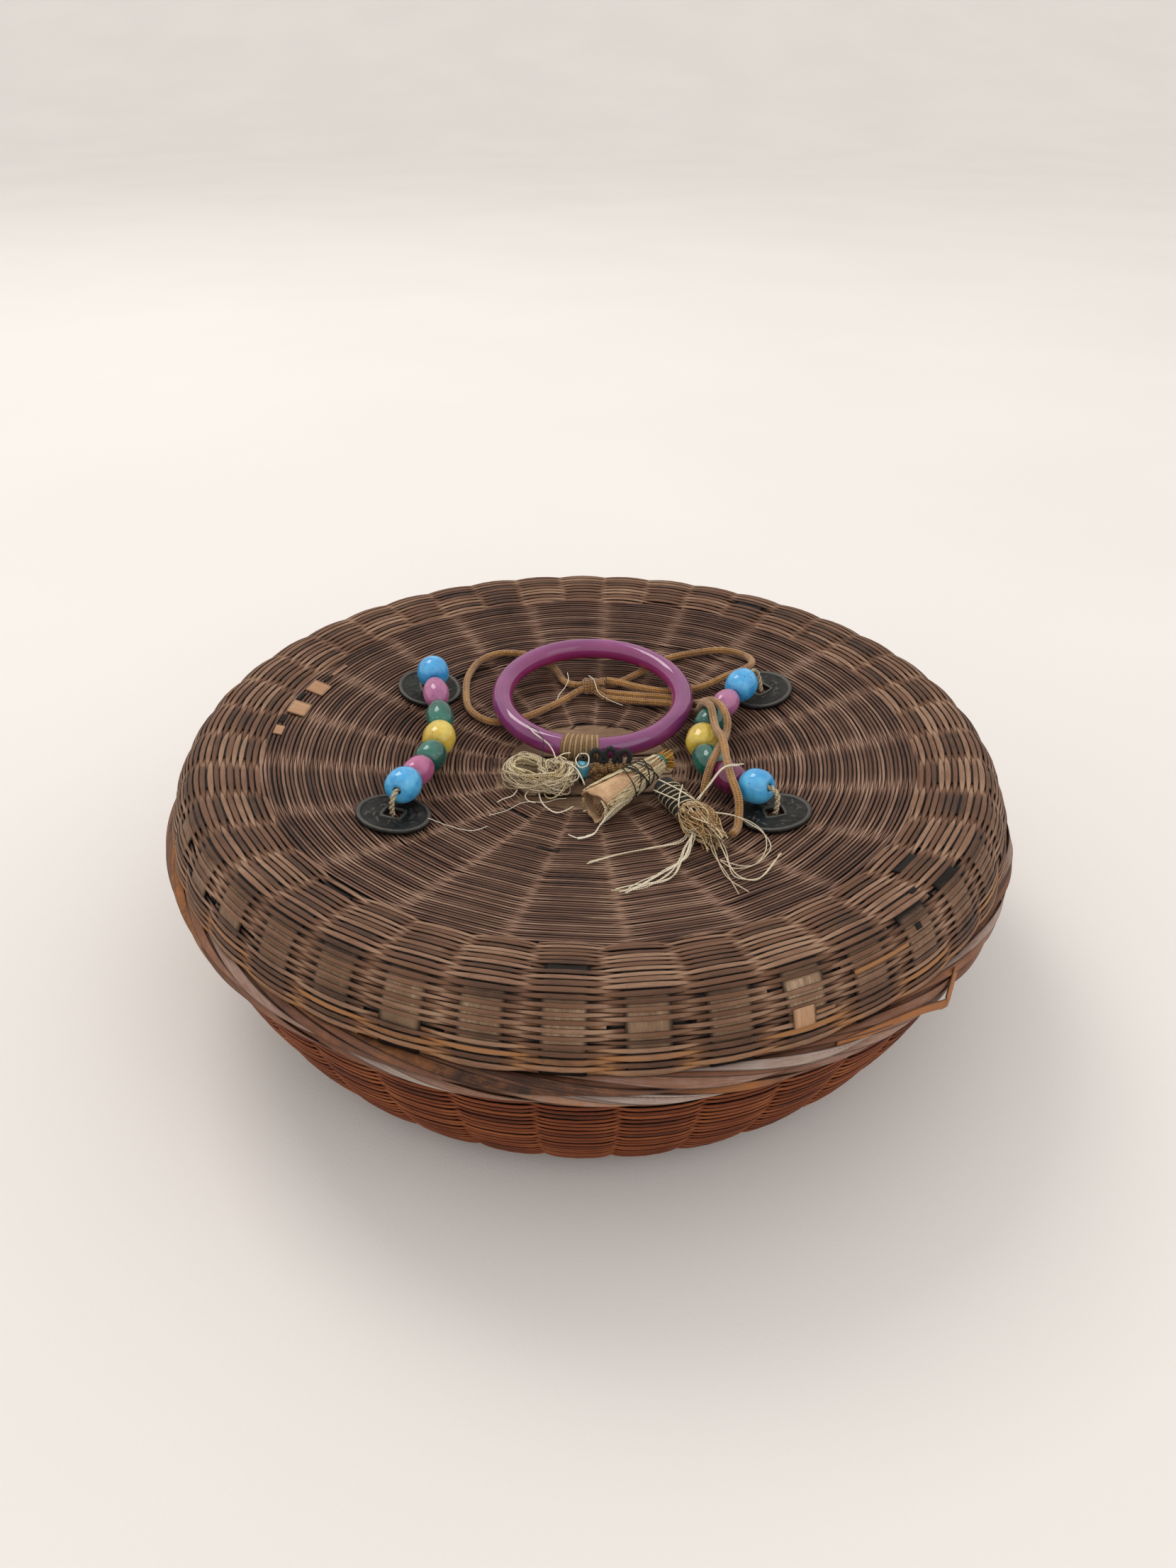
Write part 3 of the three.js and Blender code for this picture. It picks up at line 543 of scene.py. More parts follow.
def weave_coil(sweeps, profile, turns, start, pitch, spokes, style, kept=None, warmth=None, slim=None):
    """One long strand that runs over and under the spokes, turn after turn, from the first of turns to the
    last. spokes says how many there are and the angle of the first one."""
    columns, first_column = spokes
    numbers = np.arange(*(round(turn * columns) for turn in turns))
    phase = (numbers[:, None] + np.array(COLUMN_STEPS)).ravel()
    angle = first_column + 360 * phase / columns
    distance = start + pitch * phase / columns
    side = np.tanh(style["sharp"] * np.cos(np.pi * phase)) / math.tanh(style["sharp"])
    lift = style["lift"] * side + column_rise(phase, style["bulge"], style["groove"]) + style["offset"]
    lift -= style.get("foot_drop", 0) * (1 - smoothstep(0, FOOT_WIDTH, distance))
    lift += ripple(angle, 0.04, 3)
    sway = ripple(angle, style["sway"], 5)
    sway += ripple(angle % 360 + distance * 4, style["sway"], 6, (3.1, 7.3, 11.7))
    place, out = profile.place(distance + sway, angle, lift)
    full = style["wide"] if slim is None else style["wide"] * slim(angle % 360, distance)
    wide = style["narrow"] + (full - style["narrow"]) * np.abs(side)
    wide = wide * (1 + ripple(angle, 0.1, 8, (0.83, 2.3, 5.1, 17.3)))
    splices = np.cumsum(random.uniform(90, 420, int((angle[-1] - angle[0]) / 150) + 4)) + angle[0]
    tones = random.uniform(0, 1, len(splices) + 1)
    tone = 0.5 + style["variety"] * (tones[np.searchsorted(splices, angle)] - 0.5)
    keep = None if kept is None else kept(phase, angle % 360, distance)
    glow = 0 if warmth is None else warmth(phase, angle % 360, distance, tone)
    # Painted shade darkens the parts under a spoke; a painted highlight lightens the strand between columns
    crossing = smoothstep(0.85, 0.15, np.abs(np.cos(np.pi * phase)))
    tone = tone - style["shade"] * smoothstep(0.1, -0.9, side) + style["pale"] * crossing
    sweeps.add(place, out, wide, style["thick"], style["section"], keep, tone=tone, warmth=glow)


def add_spokes(sweeps, profile, near, far, spokes, width, lift, side=0, share=0.6, tone=0.1, thick=0.5):
    """Splints under the columns. side sets them beside the middle, and share is their width, in columns."""
    count, first = spokes
    for number in range(count):
        angle = first + 360 * number / count
        distance = np.linspace(near, far, max(int((far - near) / 2.5), 3))
        radius, _ = profile.read(profile.points, distance)
        column = 2 * np.pi * np.maximum(radius, 1) / count
        height = lift(distance) if callable(lift) else lift + 0 * distance
        place, out = profile.place(distance, angle + 360 * side / count, height)
        shade = tone(angle, distance) if callable(tone) else tone
        sweeps.add(place, out, np.minimum(width, share * column), thick, tone=shade)


# In each style, shade is the painted shade on parts under a spoke, pale the painted highlight between columns
# Columns stand full over each spoke, so the offset sets the weave's top level with the CAD's faces
OUTER = {
    "sharp": 1.5, "lift": 0.45, "bulge": 0.12, "groove": 2, "offset": -0.7, "sway": 0.1, "pale": 0.24,
    "wide": 1.9, "narrow": 1.02, "thick": 0.5, "section": "splint", "shade": 0.6, "variety": 0.8,
}
INNER = {
    "sharp": 1.8, "lift": 0.36, "bulge": 0.16, "groove": 2, "offset": -0.62, "sway": 0.09, "pale": 0.46,
    "wide": 1.1, "narrow": 0.62, "thick": 0.45, "section": "strand", "shade": 0.7, "variety": 0.8,
}
BASE = {
    "sharp": 3.2, "lift": 0.42, "bulge": 0.3, "groove": 0.8, "offset": -0.6, "sway": 0.14, "pale": 0.25,
    "wide": 2.05, "narrow": 1.15, "thick": 0.6, "section": "strand", "shade": 0.7, "variety": 0.7,
    "foot_drop": 0.6,
}
FLOOR = {
    "sharp": 2.6, "lift": 0.42, "bulge": 0.2, "groove": 0.8, "offset": 0, "sway": 0.1, "pale": 0.1,
    "wide": 1.7, "narrow": 0.95, "thick": 0.42, "section": "strand", "shade": 0.5, "variety": 0.7,
}


def bend(distance):
    """Where the lid turns down to its side, and most of the weave over the spokes is worn through."""
    return smoothstep(EDGE + 19, EDGE + 26, distance) * (1 - smoothstep(EDGE + 35, EDGE + 41, distance))


def facing_front(low, high, angle):
    """1 at the front of the basket, 0 at its back."""
    return smoothstep(low, high, np.cos(np.radians(angle)))


def worn_share(angle, distance):
    return 0.01 + bend(distance) * (0.02 + 0.09 * facing_front(-0.2, 0.75, angle))


def outer_slim(angle, distance):
    """Strands shrunk on the bend, so the bleached spokes show between them."""
    return 1 - bend(distance) * (0.06 + 0.22 * facing_front(-0.4, 0.6, angle))


def outer_kept(phase, angle, distance):
    over = np.cos(np.pi * phase) > 0
    return ~(over & (random_cells(phase) < worn_share(angle, distance)))


def spoke_lift(distance):
    return -1.45 + 0.9 * smoothstep(EDGE - 1, EDGE + 6, distance)


def spoke_shade_and_bleach(angle, distance):
    """Painted shade where the spoke lies under the weave, and bleached where the weave is worn through."""
    return -0.75 + 1.5 * bend(distance) * random.uniform(0.75, 1)


def random_cells(phase):
    """One random number for each pass of the strand over one column."""
    cells = np.round(phase).astype(int)
    table = np.random.default_rng(17).uniform(size=cells.max() - cells.min() + 1)
    return table[cells - cells.min()]


def inner_kept(phase, angle, distance):
    return random_cells(phase) > 0.004


GOLD_ROWS = (EDGE + 31, EDGE + 40)


def outer_warmth(phase, angle, distance, tone):
    """Orange-brown down the side, more where strands cross, with a few rubbed golden rows."""
    side = smoothstep(EDGE + 30, EDGE + 46, distance)
    crossing = 1 - np.abs(np.cos(np.pi * phase))
    streak = smoothstep(0.82, 0.88, tone) * smoothstep(EDGE + 14, EDGE + 22, distance)
    rows = sum(1 - smoothstep(0.5, 0.8, np.abs(distance - row)) for row in GOLD_ROWS)
    broken = 0.05 + 0.45 * random_cells(phase)
    return side * (0.36 + 0.34 * crossing) + 0.25 * streak + rows * broken * facing_front(-0.5, 0.4, angle)


def make_lid_weave():
    turns = (EDGE + 0.5 - BARE_RADIUS) / INNER_PITCH
    half = turns // 2
    for name, part in (("weave_lid_middle", (0, half)), ("weave_lid_inner", (half, turns))):
        sweeps = Sweeps()
        weave_coil(sweeps, lid, part, BARE_RADIUS, INNER_PITCH, ARM_SPOKES, INNER, inner_kept)
        sweeps.build(name, lid_inner_finish, "lid_inner_weave")
    sweeps = Sweeps()
    turns = (0, (LID_END - EDGE) / OUTER_PITCH)
    weave_coil(
        sweeps, lid, turns, EDGE - 0.4, OUTER_PITCH, LID_SPOKES, OUTER, outer_kept, outer_warmth, outer_slim,
    )
    sweeps.build("weave_lid_outer", lid_outer_finish, "lid_crest_weave", "lid_side_weave")


def make_lid_spokes():
    sweeps = Sweeps()
    # A near-black sheet of painted shade under the weave, seen through the gaps between its strands
    under = {"lift": SHADE_LAYER_LIFT, "share": 1.04, "tone": -0.9, "thick": 0.3}
    add_spokes(sweeps, lid, EDGE - 3, LID_END - 0.5, LID_SPOKES, 30, **under)
    add_spokes(sweeps, lid, PATCH_RADIUS - 2, EDGE, ARM_SPOKES, 40, **under)
    worn = {"lift": spoke_lift, "share": 0.62, "tone": spoke_shade_and_bleach}
    add_spokes(sweeps, lid, EDGE - 4, LID_END - 0.5, LID_SPOKES, LID_SPOKE_WIDTH, **worn)
    # Narrow spokes beside each spoke of the middle, kept dark with painted shade under the weave
    for side in (-0.13, 0.13):
        add_spokes(sweeps, lid, PATCH_RADIUS - 4, EDGE + 2, ARM_SPOKES, 9, -1.2, side, 0.25, -0.7)
    for layer, turn in enumerate(PATCH_TURNS):
        c, s = math.cos(math.radians(turn)), math.sin(math.radians(turn))
        for row in range(-2, 3):
            shift = PATCH_SPLINT * row + random.uniform(-0.4, 0.4)
            half = math.sqrt(PATCH_REACH**2 - shift**2)
            along = np.linspace(-half, half, 14)
            x, y = along * c - shift * s, along * s + shift * c
            z = dish_height(np.hypot(x, y)) - PATCH_DEPTH - PATCH_LAYER * layer + 0.12 * (row % 2)
            # Painted shade: each lower layer a little darker than the one above it
            tone = random.uniform(0.45, 0.95) - 0.1 * layer
            sweeps.add(np.stack([x, y, z], -1), UP, PATCH_SPLINT - 0.5, 0.28, tone=tone, warmth=0.15)
    sweeps.build("splints_lid", spoke_finish, "lid_spokes")


# Worn places of the lid: first and last radius, angle and width, in millimetres and degrees
BARE_SQUARES = [
    (104.6, 111.3, 253.1, 8.6), (105, 111.4, 261.7, 9.4), (109, 112, 270.6, 6.5), (141.4, 143.2, 23.2, 6.8),
]
# Small holes in the weave, each filled with a dark strip of painted shade; the same columns
DARK_HOLES = [
    (110.1, 111.6, 257.6, 5.6), (110.2, 111.8, 266.4, 5.4), (107.9, 109.1, 249, 4.2), (129.6, 131, 44.6, 3.2),
    (137.4, 138.6, 41.2, 2.6),
]
# Single strands that lie across the weave: radius, first and last angle, width, tone and warmth
LONE_STRANDS = [
    (108.3, 242.6, 247.4, 1.5, 0.95, 0.5), (139.6, 30.2, 38.6, 1.3, 0.9, 0.9),
    (142.3, 24.6, 27, 1.1, 0.8, 0.6), (57.3, 343, 350.4, 1.1, -1.0, 0), (133.7, 261, 263.2, 0.9, 0.9, 0.8),
]


def make_lid_marks():
    """The broken places of the photograph: bare spokes, small holes and strands on their own."""
    for name, marks, lift, tone, material in (
        ("splints_bare", BARE_SQUARES, 0.32, 0.7, bare_finish),
        ("splints_shadow", DARK_HOLES, 0.1, -1.0, spoke_finish),
    ):
        sweeps = Sweeps()
        for near, far, angle, wide in marks:
            distance = np.linspace(lid.where(near), lid.where(far), 6)
            place, out = lid.place(distance, np.full(6, float(angle)), lift)
            sweeps.add(place, out, wide, 0.3, tone=tone)
        sweeps.build(name, material)
    sweeps = Sweeps()
    for radius, first, last, wide, tone, warmth in LONE_STRANDS:
        angle = np.linspace(first, last, 14)
        distance = np.full(14, lid.where(radius)) + ripple(angle, 0.25, 9)
        place, out = lid.place(distance, angle, 0.35 if tone > 0 else 0.1)
        sweeps.add(place, out, wide, 0.35, tone=tone, warmth=warmth)
    sweeps.build("strands_lone", lid_outer_finish)


def make_collar():
    """Four hoops of splint and 24 upright splints, both outside and inside."""
    sweeps = Sweeps()
    turn = np.arange(0, 360, 2)
    for height in COLLAR_HOOPS:
        for radius, face in ((COLLAR_OUTSIDE, 1), (COLLAR_INSIDE, -1)):
            line = around(radius + 0.12 * np.sin(np.radians(7 * turn)), turn, height)
            out = face * unit(line * LEVEL)
            sweeps.add(line, out, COLLAR_HOOP_WIDTH, 0.5, closed=True, tone=random.uniform(0.3, 0.8))
    for angle in np.arange(0, 360, 360 / COLLAR_UPRIGHTS):
        for radius, face in ((COLLAR_OUTSIDE, 1), (COLLAR_INSIDE, -1)):
            line = around(np.full(9, radius + 0.4 * face), np.full(9, angle), np.linspace(*COLLAR_HEIGHTS, 9))
            sweeps.add(line, face * unit(line[0] * LEVEL), COLLAR_UPRIGHT_WIDTH, 0.4, tone=0.4)
    sweeps.build("splints_collar", inside_finish, "locating_collar", body="base")


def make_base():
    wall_end = wall.distance[-1]
    floor = Profile([(0.5, FLOOR_HEIGHT), (FOOT_RADIUS, FLOOR_HEIGHT)], outward=-1)
    sweeps = Sweeps()
    turns = (0, (wall_end - 0.5) / BASE_PITCH)
    weave_coil(sweeps, wall, turns, 0.3, BASE_PITCH, BASE_SPOKES, BASE, warmth=base_warmth)
    sweeps.build("weave_base_wall", base_finish, "base_wall", body="base")
    sweeps = Sweeps()
    add_spokes(sweeps, wall, 0, wall_end, BASE_SPOKES, BASE_SPOKE_WIDTH, -1.1, tone=-0.3)
    add_spokes(sweeps, floor, 0, FOOT_RADIUS - 1, BASE_SPOKES, BASE_SPOKE_WIDTH, 0)
    sweeps.build("splints_base", inside_finish, "base_spokes", body="base")
    make_collar()
    sweeps = Sweeps()
    turns = (0, (FOOT_RADIUS - FLOOR_START - 1) / FLOOR_PITCH)
    weave_coil(sweeps, floor, turns, FLOOR_START, FLOOR_PITCH, ARM_SPOKES, FLOOR)
    sweeps.build("weave_base_floor", base_finish, "base_floor", body="base")


def base_warmth(phase, angle, distance, tone):
    return 0.15 + 0.5 * smoothstep(0.9, 1, tone)


# Routes on the dish, the same as in the CAD: x, y and the height above the dish, in millimetres

LEFT_JOINTS = [
    (-61.9, 46.2, 10.3), (-59.9, 34.8, 10.2), (-56.6, 19.9, 9.2), (-54, 7.2, 7.8),
    (-54.4, -6, 7.1), (-56.8, -17.2, 6.9), (-59.8, -29.8, 8.2), (-62.6, -41.8, 9.3),
]
RIGHT_JOINTS = [
    (60.8, 41.4, 9.8), (54.2, 30.5, 9.3), (46.5, 19.4, 8.9), (40.9, 8.7, 8.5),
    (39.3, -4.5, 8), (43.2, -17.2, 7.3), (51, -28.6, 7.6), (59.2, -35.8, 9.6),
]
LEFT_REAR_END = [(-63.2, 43.2, 0.8), (-63.3, 44, 2.6), (-63.6, 48.2, 6.3), (-62.8, 49.6, 9.1)]
LEFT_FRONT_END = [(-63.4, -44.4, 7.9), (-64, -44.6, 4.5), (-64, -44, 0.8)]
RIGHT_REAR_END = [(66.5, 43.7, 0.8), (66.3, 44.6, 2.9), (65, 46.4, 7.1), (63, 44.8, 9.6)]
RIGHT_FRONT_END = [(61, -38.4, 8.3), (61.2, -39.6, 4.8), (60.9, -39.3, 0.9)]
LEFT_BOW = [
    (-5.4, 50.8, 3), (-10.1, 54.1, 2), (-15.3, 64, 2.1), (-21.6, 69.8, 1.9), (-29, 72.1, 1.9),
    (-38.8, 70.6, 2), (-45.6, 64.1, 1.9), (-49, 52.8, 2.1), (-48.8, 42.4, 2.2), (-46.6, 31.5, 2.1),
    (-41.3, 25.6, 2), (-35.5, 23.8, 2.1), (-27, 27.6, 2), (-12.3, 40.3, 2), (-5.6, 46.8, 2.6),
]
RIGHT_BOW = [
    (6, 52.2, 2.9), (10, 53.6, 2.2), (18.7, 60.1, 2), (31, 69.9, 1.7), (43.6, 72.5, 1.9),
    (53.4, 72.5, 2), (61.4, 68.6, 1.9), (64.7, 60.6, 3.3), (61, 53.6, 5), (53.3, 51, 4.3),
    (46.7, 49, 2.8), (40.7, 47.4, 2.3), (31.2, 46.6, 2.3), (18.4, 49, 3.3), (11.3, 49.9, 4.9), (6, 49.6, 6.2),
]
UPPER_TAIL = [
    (6.2, 46.6, 2.6), (18.4, 45, 2.1), (31.1, 42.6, 2), (38.6, 37.6, 2.6), (41.6, 31.4, 6.4),
    (42.8, 25.8, 10.4), (45, 20.2, 13.9), (47.6, 12.6, 15.4), (49, 4.9, 13.6), (48, -1, 12.1),
    (45.4, -10, 13.6), (43.4, -15, 13.5), (40.7, -21.7, 12.1), (38.8, -26.8, 7.9), (38.4, -28, 4.3),
]
LOWER_TAIL = [
    (6, 43.2, 2.2), (18.2, 41.2, 2), (30.8, 38.6, 2), (36.2, 35.4, 1.9), (39.7, 31.6, 2.5),
    (41, 27.2, 5.8), (41, 22.6, 10.4), (41.6, 18.6, 14.2), (43.2, 11.5, 16.9), (43.9, 1.5, 15.5),
    (44.2, -4, 15.9), (45, -10.5, 17.2), (45.6, -16, 16.5), (45.8, -21, 15), (46.6, -32, 12.8),
    (48.4, -38.8, 8.7), (48.4, -43.4, 4.6), (47.4, -48.5, 2.2), (45.4, -52, 2.2),
]
BLACK_CORD = [
    (0.6, -9, 7.3), (0.1, -8.4, 10.1), (2, -8.2, 11.9), (3.9, -8.4, 10.1), (3.5, -9, 7.9),
    (5.6, -9, 7.9), (5.1, -8.4, 10.7), (7, -8.2, 12.7), (8.9, -8.4, 10.6), (8.5, -9, 7.8),
    (10.6, -9, 7.8), (10.1, -8.4, 10), (12, -8.2, 11.8), (13.9, -8.4, 9.9), (13.4, -9, 7.1),
]
CORD_DIAMETER = 2.8
KNOT_CENTRE = on_dish(0.7, 49, 3.9)
KNOT_TURNS = 3.4
KNOT_CORD = 2.6
RING_RADIUS = 34.5
RING_TUBE = 4
RING_CENTRE = on_dish(0.6, 34.4, 9.2)
RING_TILT = 5
WRAP_TURNS = 7
WRAP_PITCH = 1.8
WRAP_ANGLE = -95.3
WRAP_REACH = RING_TUBE + 0.55
COIN_PLACES = {
    "coin_left_rear": (-63.2, 43.2),
    "coin_left_front": (-64, -44),
    "coin_right_rear": (66.5, 43.7),
    "coin_right_front": (60.9, -39.3),
}
COIN_RADIUS = 12.2
COIN_HALF_HOLE = 2.75
COIN_THICKNESS = 1.6
COIN_LIFT = 0.7
COIN_SIDES = 96
COIN_FIELD_DEPTH = 0.35
COIN_LIP = 0.32
COIN_RELIEF = 0.22
COIN_LEANS = (0.3, -0.2, 0.6, 0.1)
# Beads from rear to front: kind and diameter
BEADS_LEFT = [
    ("blue", 12.2), ("mauve_long", 9.7), ("green", 10), ("yellow", 11.9), ("green", 10.8), ("mauve", 10.2),
    ("blue", 12),
]
BEADS_RIGHT = [
    ("blue", 12), ("mauve_long", 10), ("green", 10.6), ("yellow", 12), ("green", 11.2), ("purple", 11.1),
    ("blue", 12),
]
# Power that shapes the outline of a bead, by kind, and for all the others: the higher, the slimmer its ends
BEAD_FULLNESS = {"blue": 0.78, "mauve_long": 1.25}
FULL_BEAD = 0.72
BEAD_BORE = 1.4
BEAD_GAP = 0.6
BEAD_WOBBLE = 0.012
TWINE_DIAMETER = 1.9
# The upper tail lies against this bead, which is a little slimmer so that it turns freely
SLIM_BEADS = {"bead_right_5": 0.965}
CORE_FOOT = on_dish(1, -36.5, 6.1)
CORE_TIP = on_dish(23.6, -11.2, 7.8)
HEAD_START = on_dish(25.2, -24.2, 5.9)
HEAD_END = on_dish(33, -42, 5.4)
HEAD_RADIUS = 3.9
HEAD_WINDS = 23
LADDER_RUNGS = 6
CORE_FOOT_RADIUS = 5.4
CORE_TIP_RADIUS = 2.75
# How many threads there are, and the least height above the dish at which one lies
SHEATH_THREADS = 84
FRINGE_THREADS = 110
CAP_THREADS = 60
SKIRT_LOOPS = 34
SKIRT_THREADS = 96
THREAD_CLEARANCE = 0.7
# Threads that come loose at the foot of the middle tassel
SHEATH_TAIL = [(3.1, -43.4, 2), (1.5, -47, 1.3), (-1.3, -49, 1.1), (-3.7, -49.4, 0.9), (-6.8, -48, 1.3)]
# Black threads round the middle tassel: place along it and lean, as shares of its length
BLACK_WRAPS = [
    (0.5, 0.12), (0.54, -0.1), (0.6, 0.05), (0.66, 0.1), (0.72, -0.06), (0.76, 0.08), (0.8, -0.1),
]


# Lines

def centripetal(given, pieces=24):
    """The smooth line that the CAD draws through its route points."""
    knots = np.vstack([2 * given[0] - given[1], given, 2 * given[-1] - given[-2]])
    line = []
    for a, b, c, d in zip(knots, knots[1:], knots[2:], knots[3:]):
        before, here, after = (max(np.linalg.norm(q - p) ** 0.5, 1e-4) for p, q in ((a, b), (b, c), (c, d)))
        start = ((b - a) / before - (c - a) / (before + here) + (c - b) / here) * here
        end = ((c - b) / here - (d - b) / (here + after) + (d - c) / after) * here
        u = np.linspace(0, 1, pieces, endpoint=False)[:, None]
        square, cube = 3 * (c - b) - 2 * start - end, 2 * (b - c) + start + end
        line.append(b + start * u + square * u**2 + cube * u**3)
    return np.vstack(line + [given[-1:]])


def length_of(line):
    return float(lengths(line)[-1])


def even(line, step):
    """The same line with its points a step apart."""
    length = lengths(line)
    at = np.linspace(0, length[-1], max(round(length[-1] / step), 2) + 1)
    return np.stack([np.interp(at, length, line[:, k]) for k in range(3)], -1)


def raised(points):
    """Points in space, from places on the dish and heights above it."""
    return np.array([on_dish(*point) for point in points], float)


def route(points, step=0.6):
    """A smooth line through points that are given on the dish."""
    return curve(raised(points), step)


def curve(points, step=0.6):
    """A smooth line through points in space."""
    return even(centripetal(np.asarray(points, float)), step)


def carried(line):
    """A direction square to the line that is carried along it without twisting."""
    along = unit(np.gradient(line, axis=0))
    normal = np.array([0.0, 0, 1]) if abs(along[0, 2]) < 0.9 else np.array([0.0, 1, 0])
    out = np.empty_like(line)
    for k, direction in enumerate(along):
        normal = normal - normal.dot(direction) * direction
        normal /= np.linalg.norm(normal)
        out[k] = normal
    return out


# Materials of cords, threads, glass and metal

def thread_material(name, dark, light, worn, pitch=0.9, roughness=0.85):
    """Twisted fibre: slanting lines along each thread, and a tone of its own."""
    shade = Shade(name, roughness)
    along, tone, warmth, across = shade.strand()
    slant = shade.total(shade.math("DIVIDE", along, pitch), across)
    wave = shade.math("SINE", shade.times(slant, 2 * math.pi))
    fuzz = shade.noise(1500.0, 3, 0.7)
    cloud = shade.noise(160.0, 3, 0.6)
    blend = shade.total((wave, 0.16), (tone, 0.35), (fuzz, 0.4), (cloud, 0.35))
    base = shade.mix(shade.band(blend, 0.25, 0.85), dark, light)
    base = shade.mix(warmth, base, worn, 0.9)
    return shade.finish(base, shade.total(wave, (fuzz, 1.2)), 0.00025, 0.7)


def braid_material():
    """Round ochre cord with a fine crossing weave and a soft nap."""
    shade = Shade("cord_ochre", 0.9, sheen_weight=0.35, sheen_roughness=0.5)
    along, _, _, across = shade.strand()
    mirrored = shade.math("ABSOLUTE", shade.less(shade.times(across, 2.0), 1.0))
    steps = shade.times(along, 4.2)
    turn = shade.times(mirrored, 4 * math.pi)
    weave = shade.times(*(shade.math("SINE", shade.math(way, steps, turn)) for way in ("ADD", "SUBTRACT")))
    fuzz = shade.noise(1300.0, 4, 0.7)
    cloud = shade.noise(90.0, 3, 0.6)
    blend = shade.total((weave, 0.14), (fuzz, 0.5), (cloud, 0.6))
    base = shade.mix(shade.band(blend, 0.3, 0.8), "5e3b17", "c08c4a")
    return shade.finish(base, shade.total(weave, (fuzz, 1.6)), 0.00025, 0.6)


def glass_material(name, dark, light, speck):
    """Old bead glass: full colour, faint streaks, small pits and a rubbed shine."""
    shade = Shade(
        name, 0.12, coat_weight=0.35, coat_roughness=0.04, subsurface_weight=0.25, subsurface_scale=0.002,
    )
    streak = shade.noise(190.0, 4, 0.65)
    wide = shade.noise(70.0, 2, 0.5)
    rare = shade.noise(260.0, 1, 0.5)
    pits = shade.add("ShaderNodeTexVoronoi", {"Vector": shade.place(), "Scale": 620.0}, feature="F1")
    spot = shade.times(shade.band(pits.outputs["Distance"], 0.22, 0.1), shade.band(rare, 0.56, 0.62))
    base = shade.mix(shade.band(shade.total(streak, wide), 0.75, 1.25), dark, light)
    base = shade.mix(spot, base, speck)
    rough = shade.total(0.06, (shade.band(streak, 0.45, 0.75), 0.16))
    return shade.finish(base, shade.less(shade.times(wide, 0.6), spot), 0.00015, 0.35, rough)


def ring_material():
    """Mauve glass with a painted glow of light passing through it: pinker low down and on the inside."""
    shade = Shade(
        "ring_glass", 0.08, coat_weight=0.5, coat_roughness=0.03,
        subsurface_weight=0.45, subsurface_scale=0.004, subsurface_radius=(1, 0.25, 0.6),
    )
    _, low, _, _ = shade.strand()
    cloud = shade.noise(45.0, 3, 0.5)
    fine = shade.noise(300.0, 3, 0.6)
    base = shade.mix(shade.band(cloud, 0.35, 0.7), "7a3069", "8c3f78")
    # Painted glow of light through the glass, pinker low down and on the inside
    base = shade.mix(low, base, "9b1f58", 0.85)
    rough = shade.total(0.05, (shade.band(fine, 0.5, 0.75), 0.12))
    return shade.finish(base, cloud, 0.0002, 0.2, rough)


def coin_material():
    """Old bronze gone black, rubbed grey on what stands proud."""
    shade = Shade("coin_bronze", 0.45, metallic=0.75)
    _, proud, _, _ = shade.strand()
    cloud = shade.noise(140.0, 4, 0.65)
    grit = shade.noise(1100.0, 3, 0.7)
    green = shade.noise(75.0, 3, 0.6)
    base = shade.mix(shade.band(cloud, 0.35, 0.75), "181817", "343432")
    base = shade.mix(shade.band(proud, 0.35, 1.0), base, "6b6861", 0.55)
    base = shade.mix(shade.band(green, 0.55, 0.75), base, "2f3b35", 0.4)
    rough = shade.total(0.32, (grit, 0.35))
    return shade.finish(base, shade.total(grit, (cloud, 0.8)), 0.0002, 0.6, rough)


def paper_material():
    """Brown paper rolled up, with faint fibres, creases and rubbed pale places."""
    shade = Shade("paper_core", 0.85)
    along, _, inside, across = shade.strand()
    fibre = shade.noise(1.0, 4, 0.7, shade.vector(X=shade.times(along, 0.5), Y=shade.times(across, 60.0)))
    cloud = shade.noise(120.0, 4, 0.6)
    speck = shade.noise(900.0, 2, 0.6)
    blend = shade.total((fibre, 0.4), (cloud, 0.6))
    base = shade.mix(shade.band(blend, 0.3, 0.7), "977150", "d8b48a")
    base = shade.mix(shade.band(speck, 0.62, 0.72), base, "6a4a30", 0.5)
    # Painted shade down the inside of the roll
    base = shade.mix(inside, base, "4a3322")
    return shade.finish(base, blend, 0.0002, 0.6)


ochre_finish = braid_material()
straw_finish = thread_material("thread_straw", "9a7c4c", "f0dca8", "fbf3e2")
skirt_finish = thread_material("thread_skirt", "7a5228", "d0a66c", "f2e2bc")
twine_finish = thread_material("twine_straw", "7f6a48", "cdb78e", "efe4cc", 0.7)
wrap_finish = thread_material("wrap_tan", "7e603e", "c9a67a", "8a6a48", 0.45, 0.9)
brown_finish = thread_material("cord_brown", "5c4226", "b68c58", "c8a06a", 0.5)
black_finish = thread_material("thread_black", "121312", "3a3b38", "575650", 0.35, 0.75)
gold_finish = thread_material("thread_gold", "8a5a1c", "dca13c", "e8bb62", 0.8)
teal_finish = thread_material("thread_teal", "1f5f58", "5fa89a", "7cc0b0", 0.4)
turquoise_finish = glass_material("glass_turquoise", "2b6d84", "5aa6bb", "bcd8dc")
ring_finish = ring_material()
coin_finish = coin_material()
paper_finish = paper_material()
GLASS = {
    kind: glass_material("glass_" + kind, *tones)
    for kind, tones in {
        "blue": ("2f92cf", "5fbdec", "17404f"),
        "mauve_long": ("96507c", "b8749c", "5c2444"),
        "mauve": ("96466f", "b4628e", "55203f"),
        "purple": ("5a1738", "84315a", "b67a92"),
        "green": ("0f4a40", "2b7464", "7fb0a0"),
        "yellow": ("b8962a", "dcc356", "8c6c1c"),
    }.items()
}


# Cords, knot and ring

